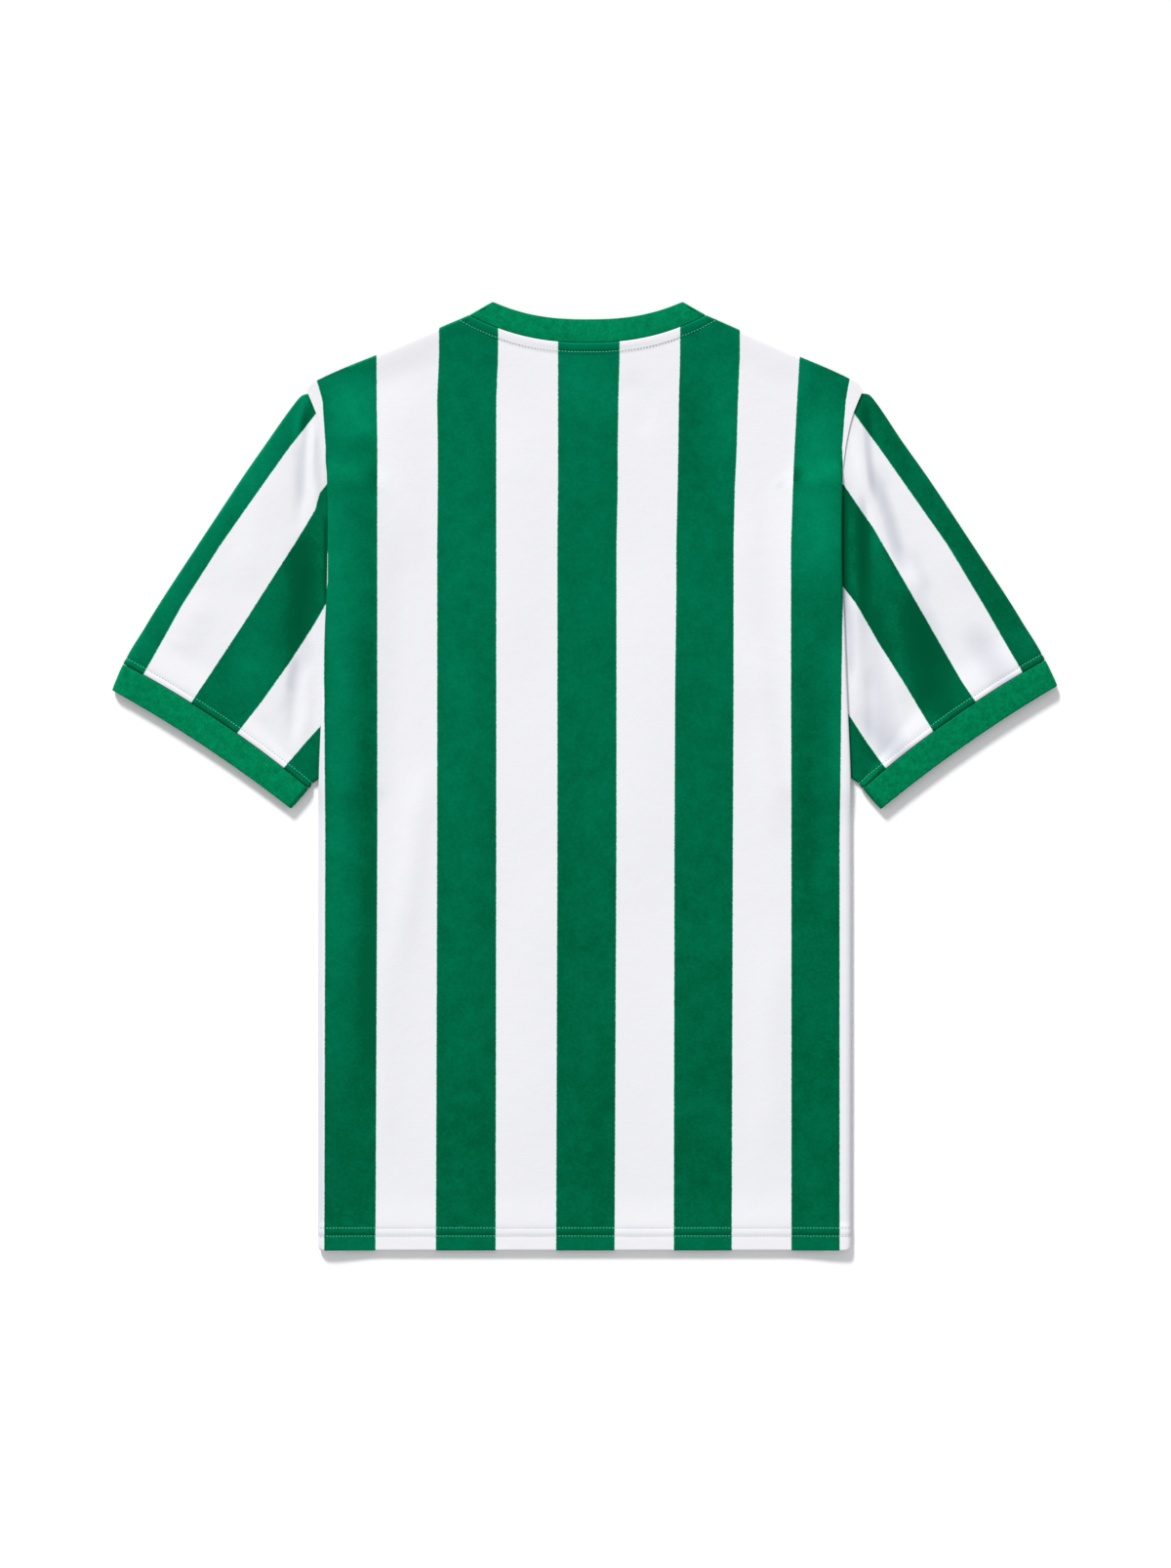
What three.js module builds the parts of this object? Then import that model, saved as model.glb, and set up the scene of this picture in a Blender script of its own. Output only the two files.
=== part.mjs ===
// A short-sleeved football jersey with a ribbed collar and ribbed cuffs, laid flat with its back up.
// The front panel lies on the surface and the back panel lies on it. The back panel's sides fold round
// to the underside, where the side seams are, and above the underarms they lap over the sleeves.
// Sizes are in millimetres. X runs across the jersey, Y from the hem to the collar, and Z up.
// The origin is on the surface, under the middle of the jersey's outline.

import * as THREE from 'three';

// Cloth
const CLOTH = 1.2; // wall of the body and the sleeves
const HEM_CLOTH = 1.8; // wall of the turned-up hem
const RIB = 1.8; // wall of the collar and the cuffs
const SEAM = 0.3; // gap between two sewn edges

// Body
const LENGTH = 757.8; // from the hem to the collar's two highest points
const HEM_Y = -LENGTH / 2;
const HEM_DEPTH = 19; // height of the turned-up hem
const HEM_STEP = 3; // length over which the hem's wall thins to the body's
const HEM_TOP = 4.7; // height of the back hem's top
const BACK_REST = 3.9; // height of the back panel's top where it lies slack
const BACK_LOWEST = 3.4; // the least height of its top, clear of the front panel and the collar
const TIP = { x: 222.1, y: 307.9 }; // where the shoulder fold meets the sleeve's upper fold
const MORPH_FROM = 140; // above this height the rows bend towards the shoulder and neck line

// The side folds. Below the underarm the cloth folds under the body; above it, over the sleeve.
const SIDE_RADIUS = 2.4; // at the middle of the wall
const LAP_RADIUS = 1.2; // the same, over a sleeve
const LAP_FLOOR = 3.7; // underside of the cloth that laps over a sleeve
const LAP = 1.2; // width of that lap where the fold has opened flat
const UNDER_LAP_TOP = LAP_FLOOR - SEAM; // the sleeve's top where it lies under the body
const LAP_ENDS = { from: -36, to: -6 }; // the fold rises from the surface to the sleeve between these
const OPENING = { from: 225, to: 258 }; // the fold opens out flat between these
const STRIP = 34; // width of the strip laid out round the fold
const LAP_PLATEAU = 22; // width kept at full height over the folded-in cloth
const SIDE_PLATEAU = 5;
const SIDE_SLOPE = 42; // width over which the back panel falls from the fold to its rest
const STRIP_SHARES = [0.65, 0.3]; // places across the strip before the bend, as shares of the way to it
const BEND_SHARES = [0, 0.25, 0.5, 0.75, 1];

// Shoulder folds: each panel's edge turns a quarter round, and the two edges meet halfway up.
const SHOULDER_TOP = LAP_FLOOR + CLOTH;
const SHOULDER_RADIUS = (SHOULDER_TOP - CLOTH - SEAM) / 2;
const SHOULDER_REACH = SHOULDER_RADIUS + CLOTH / 2;
const SHOULDER_STEPS = 3;
const BACK_SHOULDER_COLUMNS = 5;
const FRONT_SHOULDER_COLUMNS = 4;
const TIP_FLAT = { from: 206, to: 218 }; // the turn fades out between these, beside the sleeve

// Neck and collar. Widths are half widths from the neck's own middle.
const NECK_X = 2.3; // the neck's middle, right of the jersey's
const NECK = { half: 94.5, y: 368.2, drop: 22.1, power: 2.3 }; // back neck seam
const APEX = { half: 76, drop: 14.1, power: 2.45 }; // the collar's upper edge at the back
const FRONT_NECK = { drop: 92, band: 19, power: 2.2 }; // front neck seam, and the band above it
const NECK_CLEAR = 0.35; // the panels' clearance round the collar's seam edge
const BACK_NECK_CLEAR = 0.44; // the same below the back neck seam
const NECK_TOP = 4.3; // height of the back panel's top below the neck seam
const NECK_EDGE = { width: 7.5, rise: 0.6 }; // the stitched-down strip below the seam stands up
const COLLAR_TOP = 4.4; // height of the collar's back band
const COLLAR_FOLD = { radius: 1.3, out: [0.87, 0.49] }; // the fold at each highest point
const COLLAR_ROWS = [0, 0.33, 0.67, 1];
const BACK_NECK_STEPS = [0, 0.22, 0.43, 0.62, 0.78, 0.9, 0.97];
const FRONT_NECK_STEPS = [0, 0.3, 0.55, 0.75, 0.88, 0.96, 0.99];

// How the back panel's top changes near its edges, as distances from them.
const SHOULDER_RISE = { from: 30, to: 2.5 }; // it rises to the shoulder folds between these
const NECK_RISE = 50; // it rises from here to the strip below the neck seam
const STRIP_STEP = 2; // it steps up to that strip over this
const NECK_BLEND = 4; // width over which the neck's shape passes into the shoulders'
const HEM_RISE = 26; // it rises to the hem's top over this
const TOP_CALM = { from: 2, to: 26 }; // folds fade in between these below the upper edge
const HEM_CALM = { from: 8, to: 32 }; // and between these above the hem

// Heights of the rows of both panels. The second list is the armhole, which the sleeves share.
const BODY_ROWS = [
  0, 0.6, 1.5, 3, 9, 19, 22, 48, 88, 133, 178, 223, 268, 308, 331, 343, 349, 355, 361, 367, 373, 379,
].map((above) => HEM_Y + above);
const ARMHOLE_ROWS = [13.5, 45, 80, 120, 160, 195, 218, 232, 245, 258, 270, 281, 290, 298, 304.6];

// The body's half width at its outline, round at the hem's corners.
const SIDES = [
  { y: HEM_Y, half: 209.9 },
  { y: HEM_Y + 0.6, half: 211.7 },
  { y: HEM_Y + 1.5, half: 212.5 },
  { y: HEM_Y + 3, half: 212.9 },
  { y: -50, half: 213 },
  { y: 4, half: 212.2 },
  { y: 47, half: 210.4 },
  { y: 78, half: 209 },
  { y: 121, half: 207.4 },
  { y: 152, half: 205.9 },
  { y: 190, half: 205.4 },
  { y: 230, half: 205.7 },
  { y: 246, half: 206.4 },
  { y: 264.6, half: 208.5 },
  { y: 285, half: 212.9 },
  { y: 299, half: 218.2 },
  { y: TIP.y, half: TIP.x },
];

// Width of the cloth folded in beyond the side fold's bend.
const FOLDED_IN = [
  { y: HEM_Y, width: 16 },
  { y: 12, width: 15 },
  { y: 74, width: 12 },
  { y: 152, width: 6.5 },
  { y: 210, width: 2 },
  { y: 225, width: 1.5 },
  { y: TIP.y, width: 1.5 },
];

// The shoulder fold's line on the page, outwards from the neck's corner.
const SHOULDER = [
  { x: NECK.half, y: NECK.y },
  { x: 115.4, y: 359.2 },
  { x: 147.4, y: 345.1 },
  { x: 169.2, y: 335.7 },
  { x: 193, y: 325.9 },
  { x: 213, y: 316.6 },
  { x: 219, y: 312.4 },
  { x: TIP.x, y: TIP.y },
];

// The back panel's large soft folds, each a bent line: ridges have a height above 0, troughs below.
const BACK_FOLDS = [
  { from: [-150, 330], via: [-146, 250], to: [-150, 150], width: 22, height: 1.1 },
  { from: [-127, 20], via: [-137, -60], to: [-153, -170], width: 12, height: 1.2 },
  { from: [-160, -120], via: [-163, -210], to: [-158, -320], width: 14, height: 0.9 },
  { from: [136, 120], via: [147, 30], to: [157, -60], width: 12, height: 1.3 },
  { from: [120, 230], via: [128, 130], to: [124, 30], width: 18, height: 0.9 },
  { from: [152, -110], via: [147, -220], to: [150, -330], width: 15, height: 0.9 },
  { from: [-60, 300], via: [-52, 200], to: [-58, 60], width: 26, height: 0.8 },
  { from: [40, 190], via: [52, 40], to: [44, -120], width: 30, height: 0.9 },
  { from: [-30, -60], via: [-42, -180], to: [-34, -320], width: 28, height: 0.8 },
  { from: [84, -140], via: [92, -240], to: [86, -340], width: 22, height: 0.7 },
];

// Each sleeve, with x measured outwards from the middle: the ends of its cuff seam, the ends of its
// cuff's edge, how much further its upper fold bows just below the shoulder, and its large folds,
// which fall straight down from the shoulder.
const SLEEVES = [
  {
    name: 'left',
    sign: -1,
    seamTop: [368.4, 89.9],
    seamUnder: [220.2, -9.6],
    edgeTop: [377.3, 68.8],
    edgeUnder: [234.4, -25.9],
    shoulderBow: 0.5,
    folds: [
      { from: [252, 262], via: [264, 200], to: [270, 140], width: 17, height: 0.9 },
      { from: [226, 190], via: [229, 130], to: [233, 60], width: 9, height: -1 },
      { from: [300, 150], via: [318, 118], to: [330, 92], width: 14, height: 0.8 },
      { from: [262, 96], via: [266, 62], to: [262, 30], width: 11, height: 0.8 },
    ],
  },
  {
    name: 'right',
    sign: 1,
    seamTop: [367.4, 93.1],
    seamUnder: [221.8, -9.6],
    edgeTop: [377.3, 72.4],
    edgeUnder: [236.2, -26.3],
    shoulderBow: 1.8,
    folds: [
      { from: [232, 250], via: [243, 210], to: [264, 150], width: 9, height: -1.3 },
      { from: [258, 158], via: [274, 116], to: [288, 70], width: 14, height: -1.3 },
      { from: [243, 140], via: [252, 100], to: [256, 52], width: 9, height: 1 },
      { from: [252, 262], via: [282, 206], to: [310, 140], width: 15, height: 1 },
    ],
  },
];
const SLEEVE_REST = 4.6; // height of the sleeve's top where it lies slack
const SLEEVE_LOWEST = 3.2;
const SLEEVE_SEAM_TOP = 6.2; // height of its top at the cuff seam
const SLEEVE_DIP = { from: 8, to: 40 }; // beside the body it rises from under the lap over this
const SLEEVE_DIP_SHARE = 0.9; // from this share of the way to the armhole it stays under the lap

// Shares of the way from the cuff seam over which the sleeve's shape leaves the seam's.
const LEVEL_BLEND = { from: 0.02, to: 0.14 };
const SLACK_BLEND = { from: 0.03, to: 0.16 };
const FOLD_TURN = 0.1; // the folds bulge square to themselves from here
const ARMHOLE_TURN = 0.5; // and from here they turn to the armhole's own direction
const SEAM_END = 0.05; // share of the cuff seam that gives its direction at each end
const SLEEVE_ROWS = [0, 0.03, 0.07, 0.16, 0.28, 0.4, 0.52, 0.64, 0.75, 0.84, 0.92, 0.965, 0.985, 1];
const SEAM_BOW = 4.4; // how far the cuff seam bows towards the shoulder

// How far the upper fold bows out, at a share of the way from the cuff seam to the shoulder.
const FOLD_BOW = [
  { share: 0, out: 0 },
  { share: 0.07, out: 1.8 },
  { share: 0.2, out: 3.8 },
  { share: 0.43, out: 4.7 },
  { share: 0.7, out: 5.3 },
  { share: 0.86, out: 4.9 },
  { share: 0.95, out: 4.2 },
  { share: 0.985, out: 2.9 },
  { share: 1, out: 0 },
];

const SHOULDER_BOW = { from: 0.8, full: 0.985 }; // shares over which a sleeve's own bow sets in

const CUFF_TOP = 7;
const CUFF_BOW = 3.1; // how far the cuff's edge bows
const CUFF_ROWS = [0, 0.25, 0.5, 0.75, 1];

const BODY_GREEN = 0x00704c;
const RIB_GREEN = 0x068a52;
const TUBE_FOLD_STEPS = 4;
const TUBE_BENDS = [1, 2, 3];
const ROW_PASSES = 12; // passes in which a row in the shoulder's turn finds its height
const SAME = 1e-6;

const { clamp, lerp } = THREE.MathUtils;
const UP = new THREE.Vector3(0, 0, 1);

function smooth(from, to, at) {
  const s = clamp((at - from) / (to - from), 0, 1);
  return s * s * (3 - 2 * s);
}

// A table column's value at a key, on a smooth curve through its rows.
function readTable(rows, key, column, at) {
  const last = rows.length - 1;
  if (at <= rows[0][key]) return rows[0][column];
  if (at >= rows[last][key]) return rows[last][column];
  let i = 0;
  while (rows[i + 1][key] < at) i++;
  const slope = (a, b) => (rows[b][column] - rows[a][column]) / (rows[b][key] - rows[a][key]);
  const span = rows[i + 1][key] - rows[i][key];
  const s = (at - rows[i][key]) / span;
  const slopeIn = slope(Math.max(i - 1, 0), i + 1);
  const slopeOut = slope(i, Math.min(i + 2, last));
  const bend = slopeIn * s * (1 - s) ** 2 - slopeOut * s * s * (1 - s);
  return lerp(rows[i][column], rows[i + 1][column], s * s * (3 - 2 * s)) + span * bend;
}

// How high a set of soft folds stands at a point.
function foldHeight(folds, x, y) {
  let height = 0;
  for (const { from, via, to, width, height: top } of folds) {
    let nearest = Infinity;
    let along = 0;
    for (const [half, a, b] of [[0, from, via], [1, via, to]]) {
      const dx = b[0] - a[0];
      const dy = b[1] - a[1];
      const s = clamp(((x - a[0]) * dx + (y - a[1]) * dy) / (dx * dx + dy * dy), 0, 1);
      const away = Math.hypot(x - a[0] - s * dx, y - a[1] - s * dy);
      if (away < nearest) {
        nearest = away;
        along = (half + s) / 2;
      }
    }
    const fade = smooth(0, 0.3, along) * smooth(1, 0.7, along);
    height += top * fade * Math.exp(-((nearest / width) ** 2));
  }
  return height;
}

// The slow unevenness of slack cloth.
function ripple(x, y) {
  return 0.2 * Math.sin(x / 31 + y / 97) + 0.16 * Math.sin(y / 43 - x / 71 + 1.3);
}

// One place on a cloth's middle surface, with the direction of its upper side and its wall.
const place = (x, y, z, side, wall) => ({ at: new THREE.Vector3(x, y, z), side, wall });

// A closed solid from rows of places. A tube's rows are loops.
function cloth(name, rows, color, tube = false) {
  const across = rows[0].length;
  const count = rows.length * across;
  const positions = [1, -1].flatMap((face) =>
    rows.flat().flatMap(({ at, side, wall }) =>
      at.clone().addScaledVector(side, (face * wall) / 2).toArray()));
  const index = [];
  const quad = (a, b, c, d) => index.push(a, b, c, a, c, d);
  const upper = (i, j) => i * across + (j % across);
  const under = (i, j) => count + upper(i, j);
  const steps = tube ? across : across - 1;
  const end = rows.length - 1;
  for (let j = 0; j < steps; j++) {
    for (let i = 0; i < end; i++) {
      quad(upper(i, j), upper(i, j + 1), upper(i + 1, j + 1), upper(i + 1, j));
      quad(under(i, j), under(i + 1, j), under(i + 1, j + 1), under(i, j + 1));
    }
    quad(upper(0, j), under(0, j), under(0, j + 1), upper(0, j + 1));
    quad(upper(end, j), upper(end, j + 1), under(end, j + 1), under(end, j));
  }
  for (let i = 0; i < end && !tube; i++) {
    quad(upper(i, 0), upper(i + 1, 0), under(i + 1, 0), under(i, 0));
    quad(upper(i, steps), under(i, steps), under(i + 1, steps), upper(i + 1, steps));
  }
  const geometry = new THREE.BufferGeometry();
  geometry.setAttribute('position', new THREE.Float32BufferAttribute(positions, 3));
  geometry.setIndex(index);
  geometry.computeVertexNormals();
  const mesh = new THREE.Mesh(geometry, new THREE.MeshStandardMaterial({ color, roughness: 0.6 }));
  mesh.name = name;
  return mesh;
}

// The body's wall, thicker at the hem.
function bodyWall(y) {
  const top = HEM_Y + HEM_DEPTH;
  return lerp(HEM_CLOTH, CLOTH, smooth(top, top + HEM_STEP, y));
}

// The back panel's side fold at a height: where its bend starts, how far it turns, where the cloth's
// edge ends up and how high its top stands.
function sideFold(y) {
  const wall = bodyWall(y);
  const lap = smooth(LAP_ENDS.from, LAP_ENDS.to, y);
  const radius = lerp(SIDE_RADIUS, LAP_RADIUS, lap);
  const opened = smooth(OPENING.from, OPENING.to, y);
  const turn = Math.PI * (1 - opened);
  const half = readTable(SIDES, 'y', 'half', y);
  const width = readTable(FOLDED_IN, 'y', 'width', y);
  const bulge = (radius + wall / 2) * Math.sin(Math.min(turn, Math.PI / 2));
  const start = half - bulge - width * Math.max(Math.cos(turn), 0);
  const edge = start + radius * Math.sin(turn) + width * Math.cos(turn);
  const depth = radius * (1 - Math.cos(turn)) + width * Math.sin(turn);
  const top = LAP_FLOOR * lap + depth + (wall / 2) * (1 + Math.abs(Math.cos(turn)));
  return { wall, lap, radius, opened, turn, half, width, start, edge, top };
}

// The armhole's edge on the page. The sleeve reaches a little under the body where the fold is open.
function armholeX(y) {
  const { edge, opened } = sideFold(y);
  return edge - LAP * opened;
}

// Distance from the neck's middle, evened out so that both shoulders read alike.
function fromNeck(x) {
  const out = Math.abs(x - NECK_X);
  if (out <= NECK.half) return out;
  const room = TIP.x - Math.sign(x - NECK_X) * NECK_X - NECK.half;
  return NECK.half + ((out - NECK.half) * (TIP.x - NECK.half)) / room;
}

const NECK_CORNER = NECK.half + NECK_CLEAR;
const curve = (t, power) => (1 - Math.min(t, 1) ** power) ** (1 / power);
const backSeamY = (out) => NECK.y - NECK.drop * (1 - (out / NECK.half) ** NECK.power);

// The outline's upper edge: the shoulder fold, and the neck between the shoulders.
function backTopY(x) {
  const out = fromNeck(x);
  if (out >= NECK_CORNER - SAME) return readTable(SHOULDER, 'x', 'y', out);
  return backSeamY(out) - BACK_NECK_CLEAR;
}
function frontTopY(x) {
  const out = fromNeck(x);
  const corner = readTable(SHOULDER, 'x', 'y', NECK_CORNER);
  if (out >= NECK_CORNER - SAME) return readTable(SHOULDER, 'x', 'y', out);
  return corner - (FRONT_NECK.drop + NECK_CLEAR) * curve(out / NECK_CORNER, FRONT_NECK.power);
}

// Height of the back panel's top.
function backHeight(x, y) {
  const fold = sideFold(y);
  const out = fromNeck(x);
  const below = backTopY(x) - y;
  const atNeck = smooth(NECK_CORNER, NECK_CORNER - NECK_BLEND, out);
  const shoulder = (SHOULDER_TOP - BACK_REST) * smooth(SHOULDER_RISE.from, SHOULDER_RISE.to, below);
  const { width, rise } = NECK_EDGE;
  const neck = (NECK_TOP - BACK_REST) * smooth(NECK_RISE, width, below)
    + rise * smooth(width + STRIP_STEP, width, below);
  const hemEdge = HEM_Y + HEM_DEPTH;
  const hem = (HEM_TOP - BACK_REST) * smooth(hemEdge + HEM_RISE, hemEdge, y);
  const calm = smooth(TOP_CALM.from, TOP_CALM.to, below) * smooth(HEM_CALM.from, HEM_CALM.to, y - HEM_Y);
  const slack = (foldHeight(BACK_FOLDS, x, y) + ripple(x, y)) * calm;
  const rest = BACK_REST + lerp(shoulder, neck, atNeck) + hem + slack;
  const plateau = lerp(SIDE_PLATEAU, LAP_PLATEAU, fold.lap) * (1 - fold.opened);
  const side = smooth(plateau + SIDE_SLOPE, plateau, fold.half - Math.abs(x));
  return lerp(Math.max(rest, BACK_LOWEST), fold.top, side);
}

// The rows of a panel. Those in the shoulder's turn follow the upper edge exactly, and each row's
// height is that of its ends on the outline.
function panelRows(topY, halfAt) {
  const rows = [...BODY_ROWS, ...ARMHOLE_ROWS.slice(0, -1)].map((y) => ({ y, turned: null }));
  for (let k = 0; k <= SHOULDER_STEPS; k++) {
    const turned = k / SHOULDER_STEPS;
    const reach = SHOULDER_REACH * (1 - turned);
    let y = TIP.y - reach;
    for (let i = 0; i < ROW_PASSES; i++) y = topY(halfAt(y)) - reach;
    rows.push({ y, turned });
  }
  return rows;
}

// A row's height on the page at x, how far it has dropped into the shoulder's turn, and its angle.
function rowAt({ y, turned }, x, topY, halfX) {
  if (turned === null) {
    const bend = smooth(MORPH_FROM, TIP.y - SHOULDER_REACH, y);
    return { y: y + bend * (topY(x) - topY(halfX)), drop: 0, angle: 0 };
  }
  const flat = fromNeck(x) < NECK_CORNER - SAME ? 1 : smooth(TIP_FLAT.from, TIP_FLAT.to, Math.abs(x));
  const angle = (Math.PI / 2) * turned;
  const reach = lerp(SHOULDER_RADIUS * Math.sin(angle), SHOULDER_REACH * turned, flat);
  return {
    y: topY(x) - SHOULDER_REACH + reach,
    drop: SHOULDER_RADIUS * (1 - Math.cos(angle)) * (1 - flat),
    angle: angle * (1 - flat),
  };
}

// Places across a panel out to a half width on each side, with columns on the neck's two corners.
function columnsTo(half, neckSteps, sideSteps) {
  const side = (sign) => {
    const corner = NECK_X + sign * NECK_CORNER;
    const neck = neckSteps.map((t) => NECK_X + sign * t * NECK_CORNER);
    const shoulder = [];
    for (let k = 0; k <= sideSteps; k++) shoulder.push(lerp(corner, sign * half, k / sideSteps));
    return [...neck, ...shoulder];
  };
  return [...side(-1).reverse(), ...side(1).slice(1)];
}

// A place along the cloth of a side fold: its distance out, how far it has dropped, and its angle.
function roundFold({ start, radius, turn }, distance) {
  const arc = radius * turn;
  if (distance <= 0) return { x: start + distance, drop: 0, angle: 0 };
  if (distance < arc) {
    const angle = distance / radius;
    return { x: start + radius * Math.sin(angle), drop: radius * (1 - Math.cos(angle)), angle };
  }
  const past = distance - arc;
  return {
    x: start + radius * Math.sin(turn) + past * Math.cos(turn),
    drop: radius * (1 - Math.cos(turn)) + past * Math.sin(turn),
    angle: turn,
  };
}

function backPanel() {
  const halfAt = (y) => readTable(SIDES, 'y', 'half', y);
  const rows = panelRows(backTopY, halfAt).map((row) => {
    const fold = sideFold(row.y);
    const inner = fold.half - STRIP;
    const onPage = (x) => rowAt(row, x, backTopY, fold.half);
    const flatPlace = (x) => {
      const { y, drop, angle } = onPage(x);
      const side = new THREE.Vector3(0, Math.sin(angle), Math.cos(angle));
      return place(x, y, backHeight(x, y) - fold.wall / 2 - drop, side, fold.wall);
    };
    const middle = columnsTo(inner, BACK_NECK_STEPS, BACK_SHOULDER_COLUMNS).map(flatPlace);
    const flat = fold.start - inner;
    const arc = fold.radius * fold.turn;
    const folded = [
      ...STRIP_SHARES.map((share) => -flat * share),
      ...BEND_SHARES.map((share) => arc * share),
      arc + fold.width / 2,
      arc + fold.width,
    ];
    const strip = (sign) => folded.map((distance, k) => {
      const spread = lerp(-flat, arc + fold.width, (k + 1) / folded.length);
      const { x, drop, angle } = roundFold(fold, lerp(distance, spread, fold.opened));
      const { y } = onPage(sign * x);
      const top = drop ? backHeight(sign * fold.start, onPage(sign * fold.start).y) : backHeight(sign * x, y);
      const side = new THREE.Vector3(sign * Math.sin(angle), 0, Math.cos(angle));
      return place(sign * x, y, top - fold.wall / 2 - drop, side, fold.wall);
    });
    return [...strip(-1).reverse(), ...middle, ...strip(1)];
  });
  return cloth('back_panel', rows, BODY_GREEN);
}

function frontPanel() {
  const edgeAt = (y) => armholeX(y) - SEAM;
  const rows = panelRows(frontTopY, edgeAt).map((row) => {
    const half = edgeAt(row.y);
    const wall = bodyWall(row.y);
    return columnsTo(half, FRONT_NECK_STEPS, FRONT_SHOULDER_COLUMNS).map((x) => {
      const { y, drop, angle } = rowAt(row, x, frontTopY, half);
      const side = new THREE.Vector3(0, -Math.sin(angle), Math.cos(angle));
      return place(x, y, wall / 2 + drop, side, wall);
    });
  });
  return cloth('front_panel', rows, BODY_GREEN);
}

// A flattened tube from rows of page points, each row from the upper fold to the lower. Every loop
// runs over the top, round the lower fold, back underneath and round the upper fold.
function flatTube(name, sign, pages, wall, topAt, upperOut, lowerOut, color) {
  const rows = pages.map((page, i) => {
    const tops = page.map((point) => topAt(point, i));
    const bend = (point, top, out, steps) => steps.map((k) => {
      const radius = (top - wall) / 2;
      const angle = (Math.PI * k) / TUBE_FOLD_STEPS;
      const away = point.clone().addScaledVector(out, radius * Math.sin(angle));
      const side = new THREE.Vector3(
        sign * out.x * Math.sin(angle), out.y * Math.sin(angle), Math.cos(angle),
      );
      return place(sign * away.x, away.y, wall / 2 + radius * (1 + Math.cos(angle)), side, wall);
    });
    const end = page.length - 1;
    return [
      ...page.map((point, j) => place(sign * point.x, point.y, tops[j] - wall / 2, UP, wall)),
      ...bend(page[end], tops[end], lowerOut(i), TUBE_BENDS),
      ...page.map((point) => place(sign * point.x, point.y, wall / 2, UP.clone().negate(), wall)).reverse(),
      ...bend(page[0], tops[0], upperOut(i), [...TUBE_BENDS].reverse()),
    ];
  });
  return cloth(name, sign > 0 ? rows.reverse() : rows, color, true);
}

const point = ([x, y]) => new THREE.Vector2(x, y);

// The direction on the page square to a line and away from a given point.
function outFrom(a, b, inside) {
  const out = new THREE.Vector2(b.y - a.y, a.x - b.x).normalize();
  return out.dot(inside.clone().sub(a)) > 0 ? out.negate() : out;
}

function sleeveParts({ name, sign, seamTop, seamUnder, edgeTop, edgeUnder, shoulderBow, folds }) {
  const across = ARMHOLE_ROWS.length - 1;
  const armhole = [...ARMHOLE_ROWS].reverse().map((y) => new THREE.Vector2(armholeX(y), y));
  const [top, under] = [point(seamTop), point(seamUnder)];
  const upperOut = outFrom(top, armhole[0], under);
  const lowerOut = outFrom(under, armhole[across], top);
  const toShoulder = outFrom(top, under, armhole[0]).negate();

  // A line between two fold ends, bowed, and shortened at each end by half the tube's height.
  const bowed = (a, b, height, bow) => {
    const inward = b.clone().sub(a).setLength(height / 2);
    const [from, to] = [a.clone().add(inward), b.clone().sub(inward)];
    return (u) => from.clone().lerp(to, u).addScaledVector(toShoulder, bow * 4 * u * (1 - u));
  };
  const seamAt = bowed(top, under, SLEEVE_SEAM_TOP, SEAM_BOW);
  const seamUpper = seamAt(0).sub(seamAt(SEAM_END)).normalize();
  const seamLower = seamAt(1).sub(seamAt(1 - SEAM_END)).normalize();
  const sleevePage = (v) => {
    const [upper, lower] = [seamAt(0).lerp(armhole[0], v), seamAt(1).lerp(armhole[across], v)];
    const nearShoulder = smooth(SHOULDER_BOW.from, SHOULDER_BOW.full, v) * smooth(1, SHOULDER_BOW.full, v);
    const foldBow = readTable(FOLD_BOW, 'share', 'out', v) + shoulderBow * nearShoulder;
    return armhole.map((end, j) => {
      const u = j / across;
      const seamBow = seamAt(u).sub(seamAt(0).lerp(seamAt(1), u)).multiplyScalar(1 - v);
      const armholeBow = end.clone().sub(armhole[0].clone().lerp(armhole[across], u)).multiplyScalar(v);
      return upper.clone().lerp(lower, u).add(seamBow).add(armholeBow)
        .addScaledVector(upperOut, foldBow * (1 - u));
    });
  };
  const sleeveTop = ({ x, y }, i) => {
    const v = SLEEVE_ROWS[i];
    const half = readTable(SIDES, 'y', 'half', y);
    const beside = smooth(SLEEVE_DIP.from, SLEEVE_DIP.to, x - half) * smooth(1, SLEEVE_DIP_SHARE, v);
    const loose = smooth(SLACK_BLEND.from, SLACK_BLEND.to, v);
    const slack = SLEEVE_REST + (foldHeight(folds, x, y) + ripple(x, y)) * loose;
    const level = lerp(UNDER_LAP_TOP, Math.max(slack, SLEEVE_LOWEST), beside);
    return lerp(SLEEVE_SEAM_TOP, level, smooth(LEVEL_BLEND.from, LEVEL_BLEND.to, v));
  };
  const outAt = (seamOut, foldOut, armholeOut) => (i) => {
    const v = SLEEVE_ROWS[i];
    const along = seamOut.clone().lerp(foldOut, smooth(0, FOLD_TURN, v));
    return along.lerp(armholeOut, smooth(ARMHOLE_TURN, 1, v)).normalize();
  };
  const sleeve = flatTube(
    `sleeve_${name}`, sign, SLEEVE_ROWS.map(sleevePage), CLOTH, sleeveTop,
    outAt(seamUpper, upperOut, upperOut), outAt(seamLower, lowerOut, new THREE.Vector2(0, -1)), BODY_GREEN,
  );

  const cuffSeam = bowed(top, under, CUFF_TOP, SEAM_BOW);
  const cuffEdge = bowed(point(edgeTop), point(edgeUnder), CUFF_TOP, CUFF_BOW);
  const cuffPage = (v) => armhole.map((_, j) => {
    const u = j / across;
    return cuffSeam(u).addScaledVector(toShoulder, -SEAM).lerp(cuffEdge(u), v);
  });
  const cuff = flatTube(
    `cuff_${name}`, sign, [...CUFF_ROWS].reverse().map(cuffPage), RIB, () => CUFF_TOP,
    () => seamUpper, () => seamLower, RIB_GREEN,
  );
  return [sleeve, cuff];
}

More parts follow.
